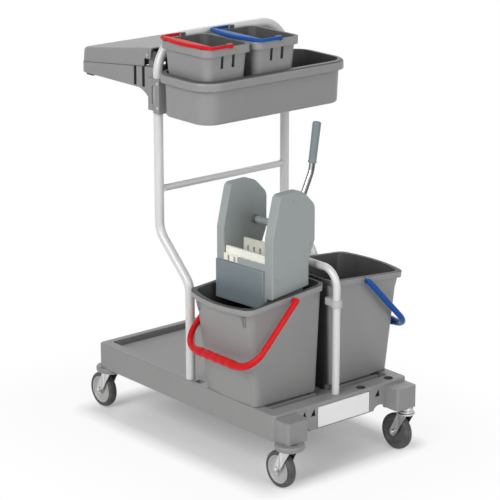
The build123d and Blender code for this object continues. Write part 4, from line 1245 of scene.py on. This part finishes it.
class TROLLEY_OT_studio(TrolleyOperator):
    """Set the camera, the lamps, the pale floor and the white room"""
    bl_idname = "trolley.studio"
    bl_label = "Studio"

    # place and width of each lamp, in metres
    lamps = {"key": ((1.2, -4.6, 3.6), 3.0), "fill": ((4.8, -0.4, 2.4), 3.0), "back": ((-3.0, 3.0, 3.8), 2.5)}
    shaded_share = 0.82
    floor_glow = (0.2, 0.68, 0.12)  # under the trolley, added beside it, added farther off

    def aimed(self, scene, name, data, place):
        """Stand a camera or a lamp at a place and turn it to the target."""
        thing = bpy.data.objects.new(name, data)
        thing.location = place
        look = Vector(scene.trolley_studio.camera_target) - Vector(place)
        thing.rotation_euler = look.to_track_quat("-Z", "Y").to_euler()
        scene.collection.objects.link(thing)
        return thing

    def lamp(self, scene, name, place, width, power):
        data = bpy.data.lights.new(name, "AREA")
        data.shape = "SQUARE"
        data.size = width
        data.energy = power
        self.aimed(scene, name, data, place)

    def seen(self, finish):
        """A mask of the rays that look at the stage, straight or by way of metal and glass."""
        straight, mirrored, through = [
            finish.node("ShaderNodeLightPath", output=name)
            for name in ("Is Camera Ray", "Is Glossy Ray", "Is Transmission Ray")]
        return straight | mirrored | through

    def floor(self, scene, studio):
        shape = bmesh.new()
        bmesh.ops.create_grid(shape, x_segments=8, y_segments=8, size=studio.floor_size / 2.0)
        bmesh.ops.translate(shape, verts=shape.verts, vec=(0.0, 0.0, cad_box[0][2]))
        mesh = bpy.data.meshes.new("studio_floor")
        shape.to_mesh(mesh)
        shape.free()
        floor = bpy.data.objects.new("studio_floor", mesh)
        scene.collection.objects.link(floor)
        material, finish = new_finish("floor_white")
        away = finish.node("ShaderNodeTexCoord", output="Object")
        half = (self.shaded_share * cad_box[1][0], self.shaded_share * cad_box[1][1], 1.0)
        for operation, value in (("ABSOLUTE", (0.0, 0.0, 0.0)), ("SUBTRACT", half), ("MAXIMUM", (0.0, 0.0, 0.0))):
            away = finish.node("ShaderNodeVectorMath", {"operation": operation}, {
                "Vector": away, "Vector_001": value})
        away = finish.node("ShaderNodeVectorMath", {"operation": "LENGTH"}, {"Vector": away}, output="Value")
        away = away * (1.0 / studio.shadow_reach)
        # The floor glows less towards the trolley and least under it: painted shade there, on top of the real shadow.
        under, near, far = self.floor_glow
        glowing = under + finish.above(away, 0.0, 0.09) * near + finish.above(away, 0.08, 0.6) * far
        ground = finish.node("ShaderNodeBsdfDiffuse", {}, {"Color": opaque(scene.trolley_colours.floor_white)})
        glow = finish.node("ShaderNodeEmission", {}, {"Strength": 1.0})
        surface = finish.node("ShaderNodeMixShader", {}, {
            "Fac": self.seen(finish) * glowing, "Shader": ground, "Shader_001": glow})
        finish.node("ShaderNodeOutputMaterial", {}, {"Surface": surface})
        mesh.materials.append(material)

    def room(self, scene, studio):
        world = bpy.data.worlds.new("studio_room")
        world.use_nodes = True
        scene.world = world
        finish = Finish(world.node_tree)
        level = studio.room_light + self.seen(finish) * (1.0 - studio.room_light)
        light = finish.node("ShaderNodeBackground", {}, {"Color": (1.0, 1.0, 1.0, 1.0), "Strength": level})
        finish.node("ShaderNodeOutputWorld", {}, {"Surface": light})

    def execute(self, context):
        scene = context.scene
        studio = scene.trolley_studio
        data = bpy.data.cameras.new("studio_camera")
        data.lens = studio.lens
        scene.camera = self.aimed(scene, "studio_camera", data, studio.camera_place)
        for name, (place, width) in self.lamps.items():
            self.lamp(scene, f"{name}_lamp", place, width, getattr(studio, f"{name}_power"))
        self.floor(scene, studio)
        self.room(scene, studio)
        scene.view_settings.view_transform = "Standard"
        return {"FINISHED"}


class TROLLEY_PT_sidebar(bpy.types.Panel):
    """The steps of the build and the values that they use"""
    bl_label = "Cleaning Trolley"
    bl_idname = "TROLLEY_PT_sidebar"
    bl_space_type = "VIEW_3D"
    bl_region_type = "UI"
    bl_category = "Trolley"

    def draw(self, context):
        for operator in operators:
            self.layout.operator(operator.bl_idname)
        for name in groups:
            group = getattr(context.scene, name)
            box = self.layout.box()
            for value in group.__annotations__:
                box.prop(group, value)


groups = {
    "trolley_colours": TrolleyColours,
    "trolley_surfaces": TrolleySurfaces,
    "trolley_studio": TrolleyStudio,
}
operators = (
    TROLLEY_OT_platform,
    TROLLEY_OT_linings,
    TROLLEY_OT_tube_frame,
    TROLLEY_OT_welds,
    TROLLEY_OT_tool_tray,
    TROLLEY_OT_bag_holder,
    TROLLEY_OT_lid_seals,
    TROLLEY_OT_mop_buckets,
    TROLLEY_OT_bails,
    TROLLEY_OT_rim_webs,
    TROLLEY_OT_small_pails,
    TROLLEY_OT_press,
    TROLLEY_OT_lever,
    TROLLEY_OT_castors,
    TROLLEY_OT_wheels,
    TROLLEY_OT_studio,
)


def register():
    for name, group in groups.items():
        bpy.utils.register_class(group)
        setattr(bpy.types.Scene, name, bpy.props.PointerProperty(type=group))
    for operator in operators:
        bpy.utils.register_class(operator)
    bpy.utils.register_class(TROLLEY_PT_sidebar)


def unregister():
    bpy.utils.unregister_class(TROLLEY_PT_sidebar)
    for operator in reversed(operators):
        bpy.utils.unregister_class(operator)
    for name, group in groups.items():
        delattr(bpy.types.Scene, name)
        bpy.utils.unregister_class(group)


def main():
    register()
    bpy.ops.trolley.platform()
    bpy.ops.trolley.linings()
    bpy.ops.trolley.tube_frame()
    bpy.ops.trolley.welds()
    bpy.ops.trolley.tool_tray()
    bpy.ops.trolley.bag_holder()
    bpy.ops.trolley.lid_seals()
    bpy.ops.trolley.mop_buckets()
    bpy.ops.trolley.bails()
    bpy.ops.trolley.rim_webs()
    bpy.ops.trolley.small_pails()
    bpy.ops.trolley.press()
    bpy.ops.trolley.lever()
    bpy.ops.trolley.castors()
    bpy.ops.trolley.wheels()
    bpy.ops.trolley.studio()


if __name__ == "__main__":
    main()
